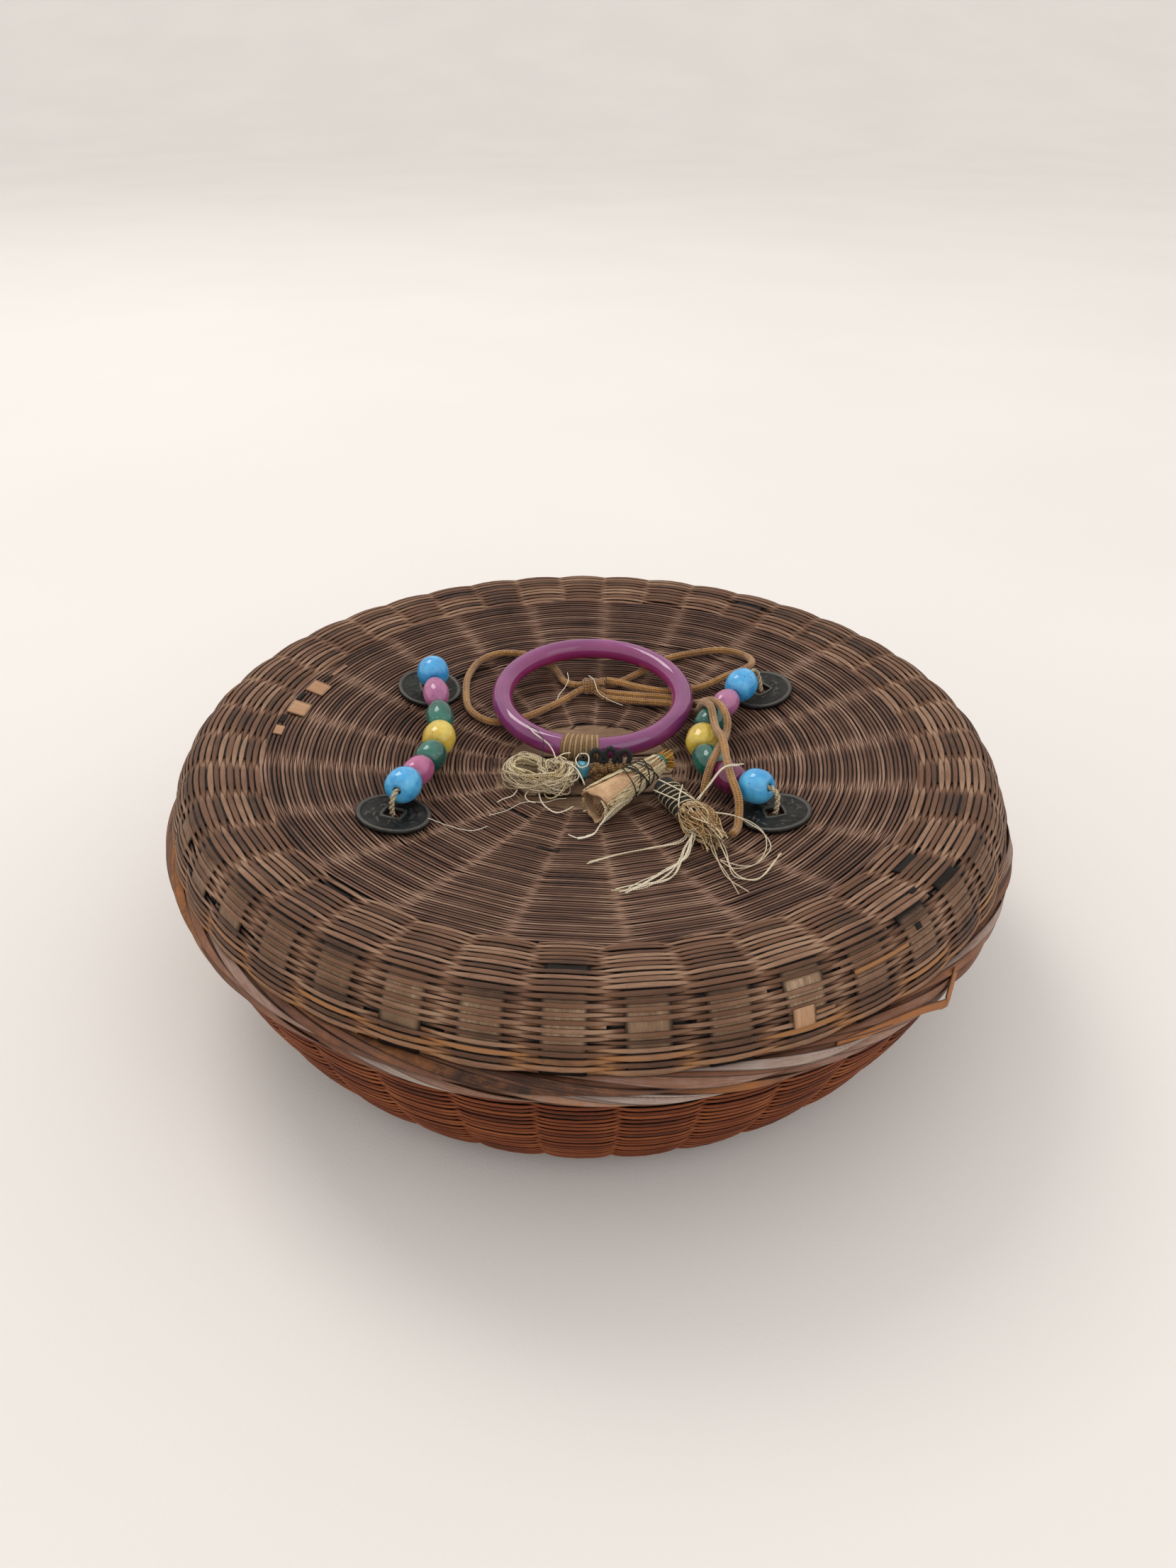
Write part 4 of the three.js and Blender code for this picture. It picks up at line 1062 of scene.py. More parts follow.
def declare_cord(node, points):
    """One free stretch of the ochre cord, as long as its route."""
    line = route(points, 0.7)
    sweeps = Sweeps()
    sweeps.round(line, CORD_DIAMETER)
    piece = sweeps.build("cord_" + node, ochre_finish, node)
    length_of(line) * MM


def make_cords():
    for node, points, far_end in (
        ("bow_loop_left", LEFT_BOW, "object"),
        ("bow_loop_right", RIGHT_BOW, "object"),
        ("bow_tail_upper", UPPER_TAIL, "bare"),
        ("bow_tail_lower", LOWER_TAIL, "bare"),
    ):
        declare_cord(node, points)


def make_knot():
    """An overhand knot: turns round the strands that pass through it."""
    sweeps = Sweeps()
    turn = np.linspace(-0.4, 2 * np.pi * KNOT_TURNS, 110)
    share = turn / turn[-1]
    x = -3.4 + 6.6 * share + 0.35 * np.sin(turn)
    coil = np.stack([x, 2.05 * np.cos(turn), 2.0 * np.sin(turn)], -1) + KNOT_CENTRE
    sweeps.add(coil, carried(coil), 2.5, 2.7, "cord", tone=0.5)
    for points in (
        [LEFT_BOW[0], (-2, 50.2, 4.1), (2, 50.8, 4.1), RIGHT_BOW[0]],
        [LEFT_BOW[-1], (-2, 48, 3.6), (2, 48, 3.6), UPPER_TAIL[0]],
        [RIGHT_BOW[-1], (3.4, 49.4, 5.3), (0, 49, 4.3)],
        [LOWER_TAIL[0], (3.2, 45.6, 2.9), (0, 48, 3.6)],
    ):
        sweeps.round(route(points, 0.5), KNOT_CORD)
    sweeps.build("knot_turns", ochre_finish, "bow_knot")
    sweeps = Sweeps()
    for points in (
        [(-1, 49.5, 8.2), (0.9, 47.1, 8.3), (3.1, 41.1, 6), (7.3, 40.2, 3.4), (12.7, 39.4, 1.4)],
        [(-9.5, 56.2, 5), (-9, 52, 4.6), (-10.5, 47, 4), (-12.6, 42, 3.9), (-13.4, 39.6, 2)],
    ):
        sweeps.thread(route(points, 0.7), 0.32, 0.9, 1)
    sweeps.build("knot_hairs", straw_finish)


def ring_turned(vectors):
    """From the ring's own frame to the way it leans, tipped towards the front."""
    turn = math.radians(RING_TILT)
    c, s = math.cos(turn), math.sin(turn)
    x, y, z = (vectors[..., k] for k in range(3))
    return np.stack([x, y * c - z * s, y * s + z * c], -1)


def make_ring_band():
    """A flat band of two strands wound round the ring, each turn stepping over to the next at its end."""
    sweeps = Sweeps()
    turns = np.linspace(0, 1, WRAP_TURNS * 30 + 1) * WRAP_TURNS
    about = 2 * np.pi * turns
    whole = np.floor(turns)
    place = whole + smoothstep(0.72, 1, turns - whole)
    angle = math.radians(WRAP_ANGLE) + (place - WRAP_TURNS / 2) * WRAP_PITCH / RING_RADIUS
    radius = RING_RADIUS + WRAP_REACH * np.cos(about)
    for shift in (-WRAP_PITCH / 4, WRAP_PITCH / 4):
        own = angle + shift / RING_RADIUS
        line = ring_turned(polar(radius, own, WRAP_REACH * np.sin(about))) + RING_CENTRE
        out = ring_turned(polar(np.cos(about), own, np.sin(about)))
        sweeps.add(line, out, 0.92, 0.8, "flat", tone=0.45 + shift)
    sweeps.build("ring_band", wrap_finish, "ring_wrap", body="ring")


def make_ring():
    along = np.arange(160)[:, None] * 2 * np.pi / 160
    about = np.arange(40)[None] * 2 * np.pi / 40
    tube = RING_TUBE * (1 + 0.012 * np.sin(3 * along + 1) + 0.008 * np.sin(7 * along))
    radius = RING_RADIUS + tube * np.cos(about)
    local = polar(radius, along, tube * np.sin(about))
    # Painted glow: how much pinker the glass is low down and on the inside of the tube
    low = smoothstep(0.35, -1, np.sin(about)) + 0.35 * smoothstep(-0.2, -1, np.cos(about))
    values = np.zeros(local.shape[:2] + (4,))
    values[..., 1] = np.clip(low, 0, 1)
    points = ring_turned(local) + RING_CENTRE
    add_closed_grid("ring_of_glass", points, ring_finish, "glass_ring", "ring", values)


# Beads, their cords and the coins

def add_lathe(name, profile, sides, start, end, material, node, body="lid", wobble=0.0, seed=0):
    """A closed body: a line of radius and height, turned about the line from start to end, that comes back to
    where it began. wobble makes it lumpy, as a share of its radius."""
    axis = unit(end - start)
    first = unit(np.cross(axis, UP))
    second = np.cross(axis, first)
    turn = np.arange(sides) * 2 * np.pi / sides
    profile = np.asarray(profile, float)
    phases = np.random.default_rng(seed).uniform(0, 6.28, 4)
    lump = 1 + wobble * np.sin(2 * turn + phases[0])[None] * np.sin(profile[:, 1:] * 0.5 + phases[1])
    lump = lump + wobble * np.sin(3 * turn + phases[2])[None] * np.sin(profile[:, 1:] * 0.9 + phases[3])
    reach = profile[:, :1] * lump
    sideways = first * np.cos(turn)[:, None] + second * np.sin(turn)[:, None]
    points = (start + end) / 2 + profile[:, None, 1:] * axis + reach[..., None] * sideways[None]
    return add_closed_grid(name, points, material, node, body, turned=True)


def bead_profile(length, diameter, fullness):
    """The outside from one bored end to the other, then back down the bore. A low fullness is a full bead."""
    half = length / 2
    turn = np.linspace(0, np.pi, 26)
    radius = BEAD_BORE + (diameter / 2 - BEAD_BORE) * np.sin(turn) ** fullness
    height = -half * np.cos(turn) * (0.985 + 0.015 * np.sin(turn))
    outside = np.stack([radius, height], -1)
    inside = [(BEAD_BORE - 0.05, half - 0.35), (BEAD_BORE - 0.12, 0), (BEAD_BORE - 0.05, -half + 0.35)]
    return np.vstack([outside, inside])


def make_beads():
    for side, joints, beads in (("left", LEFT_JOINTS, BEADS_LEFT), ("right", RIGHT_JOINTS, BEADS_RIGHT)):
        for i, (kind, diameter) in enumerate(beads):
            start, end = raised(joints[i : i + 2])
            length = np.linalg.norm(end - start) - BEAD_GAP
            body = f"bead_{side}_{i + 1}"
            node = f"{body}_{kind}"
            slim = SLIM_BEADS.get(body, 1)
            profile = bead_profile(length, diameter * slim, BEAD_FULLNESS.get(kind, FULL_BEAD))
            seed = i + len(side)
            add_lathe(f"glass_{node}", profile, 40, start, end, GLASS[kind], node, body, BEAD_WOBBLE, seed)
    for side, rear, joints, front in (
        ("left", LEFT_REAR_END, LEFT_JOINTS, LEFT_FRONT_END),
        ("right", RIGHT_REAR_END, RIGHT_JOINTS, RIGHT_FRONT_END),
    ):
        inside = [joints[0]]
        for a, b in zip(joints, joints[1:]):
            inside += [tuple((p + q) / 2 for p, q in zip(a, b)), b]
        sweeps = Sweeps()
        sweeps.twisted(route([*rear, *inside, *front], 0.35), TWINE_DIAMETER, 2, 4.2, 0.6, 0.2)
        sweeps.build(f"twine_{side}", twine_finish, f"bead_cord_{side}")


def worn_relief(x, y, seed):
    """Soft worn lumps between rim and hole, with no sign in them."""
    rng = np.random.default_rng(seed)
    height = np.zeros_like(x)
    for _ in range(26):
        turn, reach = rng.uniform(0, 2 * np.pi), rng.uniform(5, 9)
        lean, long, short = rng.uniform(0, np.pi), rng.uniform(0.8, 2.0), rng.uniform(0.3, 0.55)
        dx, dy = x - reach * np.cos(turn), y - reach * np.sin(turn)
        u = (dx * np.cos(lean) + dy * np.sin(lean)) / long
        v = (-dx * np.sin(lean) + dy * np.cos(lean)) / short
        height = np.maximum(height, np.exp(-(u**2 + v**2)))
    return height


def make_coins():
    turn = (np.arange(COIN_SIDES) + 0.5) * 2 * np.pi / COIN_SIDES
    square = COIN_HALF_HOLE / np.maximum(np.abs(np.cos(turn)), np.abs(np.sin(turn)))
    shares = np.concatenate([[0, 0.03, 0.1, 0.13], np.linspace(0.17, 0.79, 22), [0.82, 0.86, 0.95, 0.985, 1]])
    reach = square[None] + shares[:, None] * (COIN_RADIUS - square[None])
    lip = smoothstep(0.14, 0.1, shares) + smoothstep(0.81, 0.86, shares)
    lip = (lip * (1 - 0.5 * (shares > 0.97)) * (1 - 0.4 * (shares < 0.02)))[:, None]
    for number, (name, (x, y)) in enumerate(COIN_PLACES.items()):
        distance = math.hypot(x, y)
        slope = 2 * DISH_DEPTH * distance / ZONE_RADIUS**2
        normal = unit(np.array([-slope * x / distance, -slope * y / distance, 1.0]))
        first = unit(np.cross((0.0, 1.0, 0.0), normal))
        second = np.cross(normal, first)
        middle = np.array([x, y, dish_height(distance)]) + normal * (COIN_LIFT + COIN_THICKNESS / 2)
        lean = COIN_LEANS[number]
        across, up = reach * np.cos(turn + lean), reach * np.sin(turn + lean)
        relief = worn_relief(across, up, 50 + number) * (1 - np.clip(lip, 0, 1))
        top = COIN_THICKNESS / 2 - COIN_FIELD_DEPTH + COIN_LIP * lip + COIN_RELIEF * relief
        top = top + 0.05 * np.sin(across * 2.1 + number) * np.sin(up * 1.7)
        face = across[..., None] * first + up[..., None] * second
        points = middle + np.vstack([face + top[..., None] * normal, (face - top[..., None] * normal)[::-1]])
        proud = np.clip(lip + relief, 0, 1)
        values = np.zeros(points.shape[:2] + (4,))
        values[..., 1] = np.vstack([proud, proud[::-1]])
        add_closed_grid(f"holed_{name}", points, coin_finish, name, name, values)


# Borders

def make_borders():
    turn = np.arange(0, 360, 1.5)
    for name, body, node, radius, height, half_height in BORDERS:
        sweeps = Sweeps()
        core = around(radius + 0 * turn, turn, height)
        sweeps.add(core, UP, 4.2, 2 * half_height - 1, "cord", closed=True, tone=0.3)
        add_border_splints(sweeps, radius, height, half_height)
        sweeps.build(name, border_finish, node, body=body)


def add_border_splints(sweeps, radius, height, half_height):
    """Long splints, each wound over the border from its inner top to its outer foot."""
    share = np.linspace(0, 1, 60)
    taper = 0.3 + 0.7 * np.sin(np.pi * np.clip(share * 0.94 + 0.03, 0, 1)) ** 0.5
    for number in range(BORDER_SPLINTS):
        first = 360 * number / BORDER_SPLINTS + random.uniform(-1.5, 1.5)
        angle = first + BORDER_SPAN * random.uniform(0.85, 1.15) * share
        winding = BORDER_INNER_END - BORDER_WINDING * smoothstep(-0.05, 1.05, share)
        about = np.radians(winding + random.uniform(-4, 4))
        reach = 0.05 + 0.35 * np.sin(np.pi * share) + random.uniform(-0.1, 0.1)
        across = radius + (BORDER_HALF_WIDTH + reach) * np.cos(about)
        line = around(across, angle, height + (half_height + reach) * np.sin(about))
        tilt = about + 0.27
        out = unit(around(np.cos(tilt) / BORDER_HALF_WIDTH, angle, np.sin(tilt) / half_height))
        wide = BORDER_SPLINT_WIDTH * random.uniform(0.75, 1.2) * taper
        tone = random.uniform(0, 1.2)
        sweeps.add(line, out, wide, 0.5, tone=tone, warmth=random.uniform(0, 0.9) ** 1.6)


def make_loose_splint():
    """One border splint that has come away, stands out in a corner and runs back along the rim."""
    angle, out, up = np.array(LOOSE_POINTS).T
    points = around(LOOSE_RADIUS + out, angle, LOOSE_HEIGHT + up)
    start = np.linspace(points[0], points[1], 8)[:-1]
    line = np.vstack([start, curve(points[1:], 1.0)])
    sweeps = Sweeps()
    wide = 4.4 - 1.1 * smoothstep(5, 11, np.arange(len(line)))
    sweeps.add(line, unit(line * LEVEL), wide, 0.7, tone=0.35, warmth=0.8)
    sweeps.build("splint_loose", border_finish, "loose_border_splint")


# Tassels and what lies between them

def make_black_loops():
    line = route(BLACK_CORD, 0.14)
    length = np.arange(len(line)) * length_of(line) / (len(line) - 1)
    sweeps = Sweeps()
    sweeps.round(line, 1.85 + 0.16 * np.sin(2 * np.pi * length / 0.78), "round", 0.4)
    sweeps.build("loops_black", black_finish, "black_loops")


def make_braid():
    sweeps = Sweeps()
    share = np.linspace(0, 1, 90)
    for k in range(3):
        phase = 2 * np.pi * (share * 1.25 + k / 3)
        x = 0.9 + 12.4 * share
        y = -10.2 + 1.25 * np.sin(2 * phase)
        above = 4.2 + 2.35 * np.sin(phase) * (0.75 + 0.25 * np.sin(np.pi * share))
        sweeps.twisted(even(raised(zip(x, y, above)), 0.35), 2.9, 3, 4.5, 0.5)
    sweeps.build("knot_braided", brown_finish, "braided_knot")


def make_small_bead():
    """A six-sided bead with flat faces, and three turns of black thread at each end."""
    low, high = raised([(-2.9, -11, 1.7), (-2.5, -8.9, 8.1)])
    outside = [(0.45, -3.1), (1.2, -3.2), (2.1, -2.2), (2.25, 0), (2.1, 2.2), (1.2, 3.2), (0.45, 3.1)]
    bead = add_lathe("bead_small", [*outside, (0.4, 0)], 6, low, high, turquoise_finish, "small_blue_bead")
    bead.data.polygons.foreach_set("use_smooth", [False] * len(bead.data.polygons))
    sweeps = Sweeps()
    turn = np.linspace(0, 2 * np.pi, 20)
    for end, other in ((low, high), (high, low)):
        for k in range(3):
            place = end + (other - end) * 0.06 + unit(end - other) * (0.6 * k)
            loop = polar(0.75 + 0.18 * (k % 2), turn, 0.3 * np.sin(turn)) * (1, 0.9, 1)
            sweeps.thread(place + loop, 0.75, 0.3)
    sweeps.build("ties_black", black_finish)


def under_ring(x, y):
    """The most height above the dish that clears the glass ring on its way up."""
    aside = np.maximum(-12 - x, 0)
    return 1.8 + 0.5 * aside + 3 * np.maximum(-4.5 - 0.24 * aside - y, 0)


def tangle(centre, half, count, seed, rough, turns=1.6):
    """Closed-looking loops of thread that wander round a middle, each on its own way, and under the ring."""
    rng = np.random.default_rng(seed)
    lines = []
    for _ in range(count):
        turn = np.linspace(0, 2 * np.pi * turns * rng.uniform(0.6, 1), 46) + rng.uniform(0, 6.28)
        size = rng.uniform(0.55, 1.0)
        for n in (2, 3, 5):
            wave = rng.normal(0, rough / n)
            size = size + wave * np.sin(n * turn * rng.uniform(0.8, 1.2) + rng.uniform(0, 6.28))
        x = centre[0] + half[0] * size * np.cos(turn)
        y = centre[1] + half[1] * size * np.sin(turn)
        rise = np.sin(turn * rng.uniform(0.7, 1.8) + rng.uniform(0, 6.28)) * rng.uniform(0.3, 1)
        above = np.minimum(centre[2] + half[2] * rise, under_ring(x, y))
        lines.append(even(raised(zip(x, y, np.maximum(above, THREAD_CLEARANCE))), 0.8))
    return lines


# The thread that lies over the glass ring, from its free end to its foot in the hank
OVER_RING = [
    (-23.4, 6.6, 12.2), (-22.1, 4.4, 12.9), (-20.1, 0.2, 13.2), (-17.6, -1.7, 12.4), (-14.7, -3.1, 10.6),
    (-12.8, -5.6, 8.5), (-12.1, -8.4, 7),
]
# Stray threads round the left tassel: route, thickness and how pale each one is
STRAYS_LEFT = [
    ([(-12.6, -8.4, 7), (-10.1, -6.9, 9), (-7.0, -7.0, 10)], 0.5, 0.6),
    ([(-15.7, -18.3, 4.5), (-17.4, -19.4, 2.5), (-17, -24.5, 1), (-14.6, -29.8, 0.8), (-11.1, -32.9, 0.8),
      (-7.8, -31.6, 1.2), (-5.6, -30.4, 2)], 0.55, 0.7),
    ([(-8, -23.4, 1), (-11.4, -24, 0.9), (-14.8, -26.2, 0.9), (-22.4, -26.9, 0.8), (-28.3, -33.4, 0.8),
      (-33.5, -37.1, 0.8)], 0.25, 1),
    ([(-12.8, -9, 7), (-7.9, -11, 8), (-4.7, -15.7, 8.5), (-2.9, -19.9, 7.5), (-1.8, -22, 5.8)], 0.55, 0.7),
    ([(-4, -7.4, 9.6), (-5.1, -11.3, 9.5), (-3.4, -15.4, 9), (-1.2, -14.8, 9.4), (-0.5, -10.9, 10.1),
      (-1.3, -8, 10.2), (-3.6, -7.2, 9.8)], 0.45, 0.8),
    ([(-25, -20.5, 2), (-26.5, -23.5, 1.2), (-29.5, -25.5, 0.8), (-31.5, -28, 0.8)], 0.4, 0.9),
    ([(-21, -20, 2), (-22.3, -23, 1), (-20.8, -26, 0.8), (-18.5, -26.6, 0.8)], 0.5, 0.6),
    ([(-52.4, -45.5, 2.6), (-45.3, -46.5, 0.9), (-38.2, -48, 0.8), (-33.3, -44.3, 0.8)], 0.25, 1),
]
DARK_HAIR = [
    (-22.8, 10, 9.5), (-21.2, 4.5, 13), (-19.3, 2.4, 13.3), (-16.6, -3.4, 12.2), (-16.7, -6.8, 10),
    (-16.7, -12, 8), (-16.7, -18.2, 6.2),
]


def make_hank():
    """The left tassel: open loops on its left, a dense tangle on its right, and stray ends."""
    sweeps = Sweeps()
    for line in tangle((-19.0, -12.4, 4.7), (11.9, 10.2, 4.2), 24, 5, 0.09):
        sweeps.thread(line, random.uniform(0.42, 0.62), warmth=random.uniform(0, 0.5))
    for line in tangle((-11.5, -14.4, 4.7), (6.6, 8.2, 4.1), 40, 6, 0.22, turns=1.1):
        sweeps.thread(line, random.uniform(0.38, 0.58), warmth=random.uniform(0, 0.6))
    sweeps.build("tassel_tangle", straw_finish, "tassel_hank_left")
    sweeps = Sweeps()
    sweeps.thread(route(OVER_RING), 0.5, 0.7, 0.9)
    thread = sweeps.build("thread_over_ring", straw_finish, body=None)
    foot, top = raised([OVER_RING[-2], OVER_RING[2]]) * MM
    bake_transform(thread)
    sweeps = Sweeps()
    for points, thick, warmth in STRAYS_LEFT:
        sweeps.thread(route(points), thick, 0.7, warmth)
    sweeps.build("threads_stray_left", straw_finish)
    sweeps = Sweeps()
    sweeps.thread(route(DARK_HAIR), 0.28, 0.2)
    sweeps.build("hair_dark", black_finish)


class Axis:
    """The line through a tassel, and places round it: a share of its length, a turn and a distance out."""

    def __init__(self, start, end):
        self.start = np.array(start)
        self.length = np.linalg.norm(np.array(end) - self.start)
        self.along = unit(np.array(end) - self.start)
        self.side = unit(np.cross(self.along, UP))
        self.up = np.cross(self.side, self.along)

    def outward(self, turn):
        return np.cos(turn)[..., None] * self.side + np.sin(turn)[..., None] * self.up

    def at(self, share, turn, reach):
        share, turn, reach = (np.asarray(value, float)[..., None] for value in (share, turn, reach))
        return self.start + share * self.length * self.along + reach * self.outward(turn[..., 0])


CORE = Axis(CORE_FOOT, CORE_TIP)
HEAD = Axis(HEAD_START, HEAD_END)


def core_at(share, turn, lift):
    """A place on the middle tassel's core, which narrows to its tip and is a little square at its foot."""
    share, turn = np.asarray(share, float), np.asarray(turn, float)
    square = 1 + 0.07 * np.cos(4 * (turn - 0.5)) * (1 - share)
    radius = CORE_FOOT_RADIUS + (CORE_TIP_RADIUS - CORE_FOOT_RADIUS) * share
    return CORE.at(share, turn, radius * square + lift)


def make_paper():
    """Rolled paper: up its outside, over its tip, and down the inside, darkened with painted shade, to a
    jagged foot.
    """
    turn = np.arange(40) * 2 * np.pi / 40
    jag = 0.035 * np.sin(2 * turn + 0.6) + 0.012 * np.sin(7 * turn)
    # Each row: share of the length, lift, share of the length for the fibres, and how much painted shade it
    # has
    rows = [(0, -0.05, 0, 0)]
    for share in (0.02, 0.1, 0.25, 0.4, 0.55, 0.7, 0.85, 0.97):
        rows.append((share, 0.02 * np.sin(9 * turn + 20 * share), share, 0))
    rows += [(1, -0.05, 1, 0), (1, -2.3, 1, 0), (0.55, -3.6, 0.5, 1)]
    for share in (0.5, 0.35, 0.2, 0.08, 0.01):
        rows.append((share, -0.75, share, 0.85 * min(share * 8, 1)))
    points = [core_at(share + jag * max(1 - share * 6, 0), turn, lift) for share, lift, _, _ in rows]
    points = np.array(points)
    strand = np.zeros(points.shape[:2] + (4,))
    strand[..., 0] = [[along * CORE.length] for _, _, along, _ in rows]
    strand[..., 2] = [[dark] for _, _, _, dark in rows]
    strand[..., 3] = 0.5 - 0.5 * np.cos(turn)
    add_closed_grid("tassel_paper", points, paper_finish, "tassel_core_middle", strand=strand, turned=True)
    sweeps = Sweeps()
    turn = np.linspace(0.8, 0.8 + 2 * np.pi * 4.2, 150)
    scroll = core_at(0.075 + 0.012 * np.sin(3 * turn), turn, -np.linspace(0.95, 4.9, 150))
    out = unit(scroll - core_at(0.075, 0.0, -CORE_FOOT_RADIUS))
    sweeps.add(scroll, out, 2.6, 0.4, "flat", tone=0.5, warmth=0.3)
    sweeps.build("tassel_scroll", paper_finish)


def make_sheath(rng):
    """Threads along the paper, and some that come loose at its foot."""
    sweeps = Sweeps()
    for number in range(SHEATH_THREADS):
        turn = rng.uniform(2.0, 3.9) if number % 3 == 0 else rng.uniform(-1.6, 0.6)
        if number > 70:
            turn = rng.uniform(0.5, 2.0)
        first = rng.uniform(0.0, 0.16) if number <= 70 else rng.uniform(0.42, 0.6)
        share = np.linspace(first, 1.0, 30)
        end_turn = turn + rng.normal(0, 0.5)
        wander = rng.normal(0, 0.1) * np.sin(share * rng.uniform(5, 12) + rng.uniform(0, 6))
        turns = turn + (end_turn - turn) * share**2 + wander
        lift = 0.35 + rng.uniform(0, 0.9) * (0.4 + 0.6 * np.sin(np.pi * share))
        line = even(core_at(share, turns, lift + 0.12 * np.sin(share * 25 + number)), 0.5)
        sweeps.thread(line, rng.uniform(0.42, 0.62), rng.uniform(), rng.uniform(0, 0.4))
    for number in range(5):
        turn = rng.uniform(-1.3, 0.2)
        share = np.linspace(0.35, -0.03, 12)
        begin = core_at(share, turn + 0.2 * np.sin(share * 9), 0.8 + rng.uniform(0, 0.6))
        spread = rng.normal(0, 0.35, 3) * (0.6, 0.6, 0) * np.linspace(0.3, 1.6, 5)[:, None]
        tail = (raised(SHEATH_TAIL) + spread)[: 3 + number % 3]
        sweeps.thread(curve(np.vstack([begin[::3], tail])), 0.42, 0.9, 0.85)
    for number in range(6):
        turn = rng.uniform(-1.8, 0.3) + rng.uniform(1.2, 2.2) * np.linspace(0, 1, 5)
        sweeps.thread(curve(core_at(np.linspace(0.03, -0.02, 5), turn, 0.5), 0.5), 0.5, 0.7, 0.4)
    sweeps.build("tassel_threads", straw_finish, "tassel_sheath_middle")


def make_wraps():
    """Black threads round the upper half of the middle tassel, and teal ones at its tip."""
    sweeps = Sweeps()
    turn = np.linspace(0, 2 * np.pi, 48)
    for number, (place, lean) in enumerate(BLACK_WRAPS):
        sweeps.thread(core_at(place + lean * np.sin(turn + number), turn, 1.75 - 0.5 * place), 0.42, 0.3)
    sweeps.build("tassel_wraps", black_finish)
    sweeps = Sweeps()
    turn = np.linspace(0, 2 * np.pi, 40)
    for number in range(4):
        share = 0.985 + 0.02 * number + 0.02 * np.sin(turn)
        sweeps.thread(core_at(share, turn, 0.5 - 0.25 * number), 0.55, 0.5)
    sweeps.build("tassel_teal", teal_finish)


def make_fringe(rng):
    sweeps = Sweeps()
    tip = CORE.start + CORE.along * (CORE.length + 0.2)
    share = np.linspace(0, 1, 8)[:, None]
    for _ in range(FRINGE_THREADS):
        turn, reach = rng.uniform(0, 6.28), rng.uniform(0.1, 2.1)
        outward = CORE.outward(turn)
        lean = unit(CORE.along + 0.16 * reach * outward + rng.normal(0, 0.1, 3))
        sag = rng.normal(0, 0.35, 3) + (0.5, -0.7, -0.3)
        line = tip + reach * outward + lean * rng.uniform(4.2, 6.2) * share + sag * share**2
        sweeps.thread(line, rng.uniform(0.3, 0.45), rng.uniform(), rng.uniform(0, 0.5))
    sweeps.build("tassel_fringe", gold_finish, "tassel_tuft_middle")


def make_middle_tassel():
    rng = np.random.default_rng(8)
    make_paper()
    make_sheath(rng)
    make_wraps()
    make_fringe(rng)


def make_head():
    """The right tassel's head: black thread wound round a core, closed by a cap, and a ladder of straw."""
    sweeps = Sweeps()
    share = np.linspace(0.005, 0.995, HEAD_WINDS * 26)
    turn = 2 * np.pi * HEAD_WINDS * share
    line = HEAD.at(share, turn, HEAD_RADIUS - 0.45 + 0.25 * np.sin(np.pi * share))
    out = unit(line - HEAD.at(share, turn, 0))
    sweeps.add(line, out, 0.9, 0.9, "thread", tone=0.4 + 0.3 * np.sin(share * 9))
    reach = HEAD_RADIUS - 0.2
    for turn in np.arange(CAP_THREADS) * 2 * np.pi / CAP_THREADS:
        cap = HEAD.at([0, -0.01, -0.01], turn, [reach, reach * 0.6, 0.3])
        sweeps.thread(curve(cap), 0.5, 0.4)
    sweeps.add(HEAD.at(np.linspace(0, 1, 6), 0, 0), HEAD.side, 6.9, 6.9, "cord", tone=0.2)
    sweeps.build("tassel_black", black_finish, "tassel_head_right")
    sweeps = Sweeps()
    share = np.linspace(0.12, 0.9, LADDER_RUNGS * 30)
    turn = 2 * np.pi * LADDER_RUNGS * (share - 0.12) / 0.78
    ladder = HEAD.at(share + 0.1 * np.sin(turn), turn, HEAD_RADIUS + 0.42)
    sweeps.thread(even(ladder, 0.4), 0.44, 0.5, 0.2)
    for first, last in (((0.05, 1.0), (0.98, 1.9)), ((0.3, 2.5), (0.95, 0.6)), ((0.1, 0.2), (0.8, 0.9))):
        share, turn = np.linspace(first, last, 12).T
        sweeps.thread(HEAD.at(share, turn, HEAD_RADIUS + 0.95), 0.45, 0.8, 0.6)
    sweeps.build("tassel_ladder", straw_finish, "tassel_winding_right")


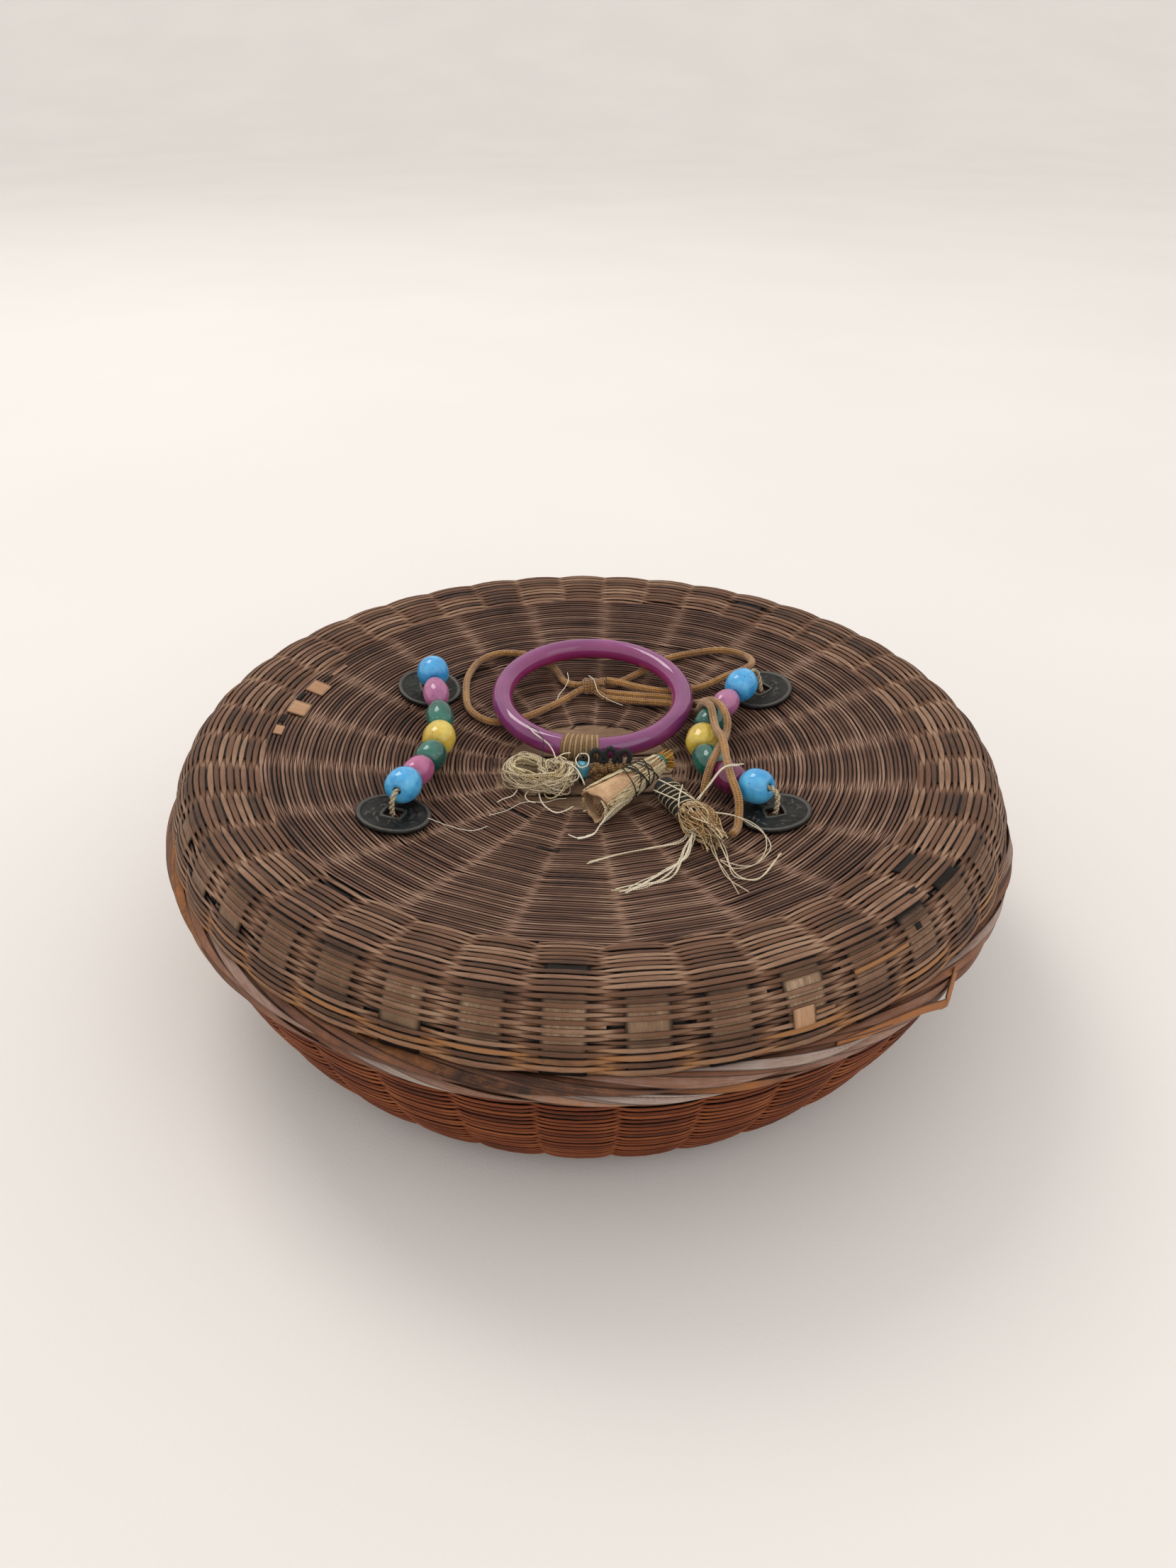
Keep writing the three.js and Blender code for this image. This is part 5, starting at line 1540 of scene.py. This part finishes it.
def make_skirt(rng):
    """Frayed threads below the head: loops wound into a ball, and single threads over it."""
    sweeps = Sweeps()
    middle = HEAD.start + HEAD.along * (HEAD.length + 6.2)
    for _ in range(SKIRT_LOOPS):
        turn = np.linspace(0, rng.uniform(3.5, 7), 30) + rng.uniform(0, 6.28)
        tilt = unit(rng.normal(0, 1, 3))
        other = unit(np.cross(tilt, rng.normal(0, 1, 3)))
        third = np.cross(tilt, other)
        loop = rng.uniform(0.55, 1.0) * (np.cos(turn)[:, None] * other + np.sin(turn)[:, None] * third)
        axes = np.stack([HEAD.side, HEAD.up, HEAD.along])
        line = middle + loop @ axes.T * (4.9, 3.9, 5.2) @ axes
        sweeps.thread(even(line, 0.7), rng.uniform(0.4, 0.6), rng.uniform(0, 0.5), rng.uniform(0, 0.3))
    for number in range(SKIRT_THREADS):
        turn = rng.uniform(0, 6.28)
        sway = rng.normal(0, 0.35, 3)
        line = [HEAD.at(0.9, turn, 3.7), HEAD.at(1.1, turn + sway[0], 4.9 + rng.uniform(-0.3, 0.5))]
        line.append(HEAD.at(rng.uniform(1.25, 1.45), turn + sway[1], 5.2 + rng.uniform(-0.6, 0.9)))
        line.append(HEAD.at(rng.uniform(1.5, 1.8), turn + sway[2], rng.uniform(1.5, 4.6)))
        if number % 3:
            line.append(line[-1] + HEAD.along * rng.uniform(0.5, 4.5) + rng.normal(0, 1.1, 3) - (0, 0, 1.2))
        line = np.array(line)
        lowest = dish_height(np.hypot(line[:, 0], line[:, 1])) + THREAD_CLEARANCE
        line[:, 2] = np.maximum(line[:, 2], lowest)
        sweeps.thread(curve(line), rng.uniform(0.38, 0.5), rng.uniform(), rng.uniform() ** 2)
    sweeps.build("tassel_frayed", skirt_finish, "tassel_skirt_right")


# Loose threads of the right tassel: the route of each bundle, and how many threads lie along it
TRAILS = [
    ([(34.7, -42.6, 6), (34, -52, 5), (31, -58.6, 2), (23.3, -75, 0.8), (13.4, -79.6, 0.8),
      (7.7, -82.9, 0.8)], 4),
    ([(35.4, -44.4, 6), (33, -54, 4), (29.9, -62.8, 1.4), (24.5, -70, 0.8), (16.7, -78, 0.8),
      (12, -82.9, 0.8)], 3),
    ([(33.1, -44, 5), (29.8, -52.6, 1.6), (19.3, -55.8, 0.8), (10.7, -59, 0.8), (-0.4, -66.7, 0.8)], 2),
    ([(37.3, -46, 6), (38.5, -58.5, 1.5), (41.2, -75.1, 0.8), (44.6, -86.3, 0.8)], 2),
    ([(37.9, -46, 7), (42, -59.1, 1.6), (44.3, -76.2, 0.8), (49.5, -79, 0.8), (56.5, -69.2, 0.9),
      (59, -65.7, 1)], 2),
    ([(38.7, -46, 8), (45.5, -47.7, 7), (51.5, -48.8, 4), (55.9, -53.2, 2.5), (55.8, -60.8, 1.2),
      (50.7, -69.8, 0.9), (44.9, -71, 0.9), (41.4, -65.1, 1)], 2),
    ([(35, -40, 9.6), (38.5, -36, 13), (44, -31.5, 16.5), (50.5, -29, 15.5)], 2),
]


def make_trails(rng):
    sweeps = Sweeps()
    for points, count in TRAILS:
        for _ in range(count):
            shift = rng.normal(0, 0.8, (len(points), 3)) * LEVEL * np.linspace(0.4, 1.3, len(points))[:, None]
            line = route(np.array(points) + shift)
            sweeps.thread(line, rng.uniform(0.35, 0.5), rng.uniform(), rng.uniform(0.2, 0.9))
    sweeps.build("threads_stray_right", straw_finish)


def make_right_tassel():
    rng = np.random.default_rng(12)
    make_head()
    make_skirt(rng)
    make_trails(rng)


for make in (
    make_camera, make_cords, make_floor, make_lights, make_lid_weave, make_lid_spokes, make_lid_marks,
    make_base, make_borders, make_loose_splint, make_knot, make_ring, make_ring_band, make_beads, make_coins,
    make_black_loops, make_braid, make_small_bead, make_hank, make_middle_tassel, make_right_tassel,
):
    make()
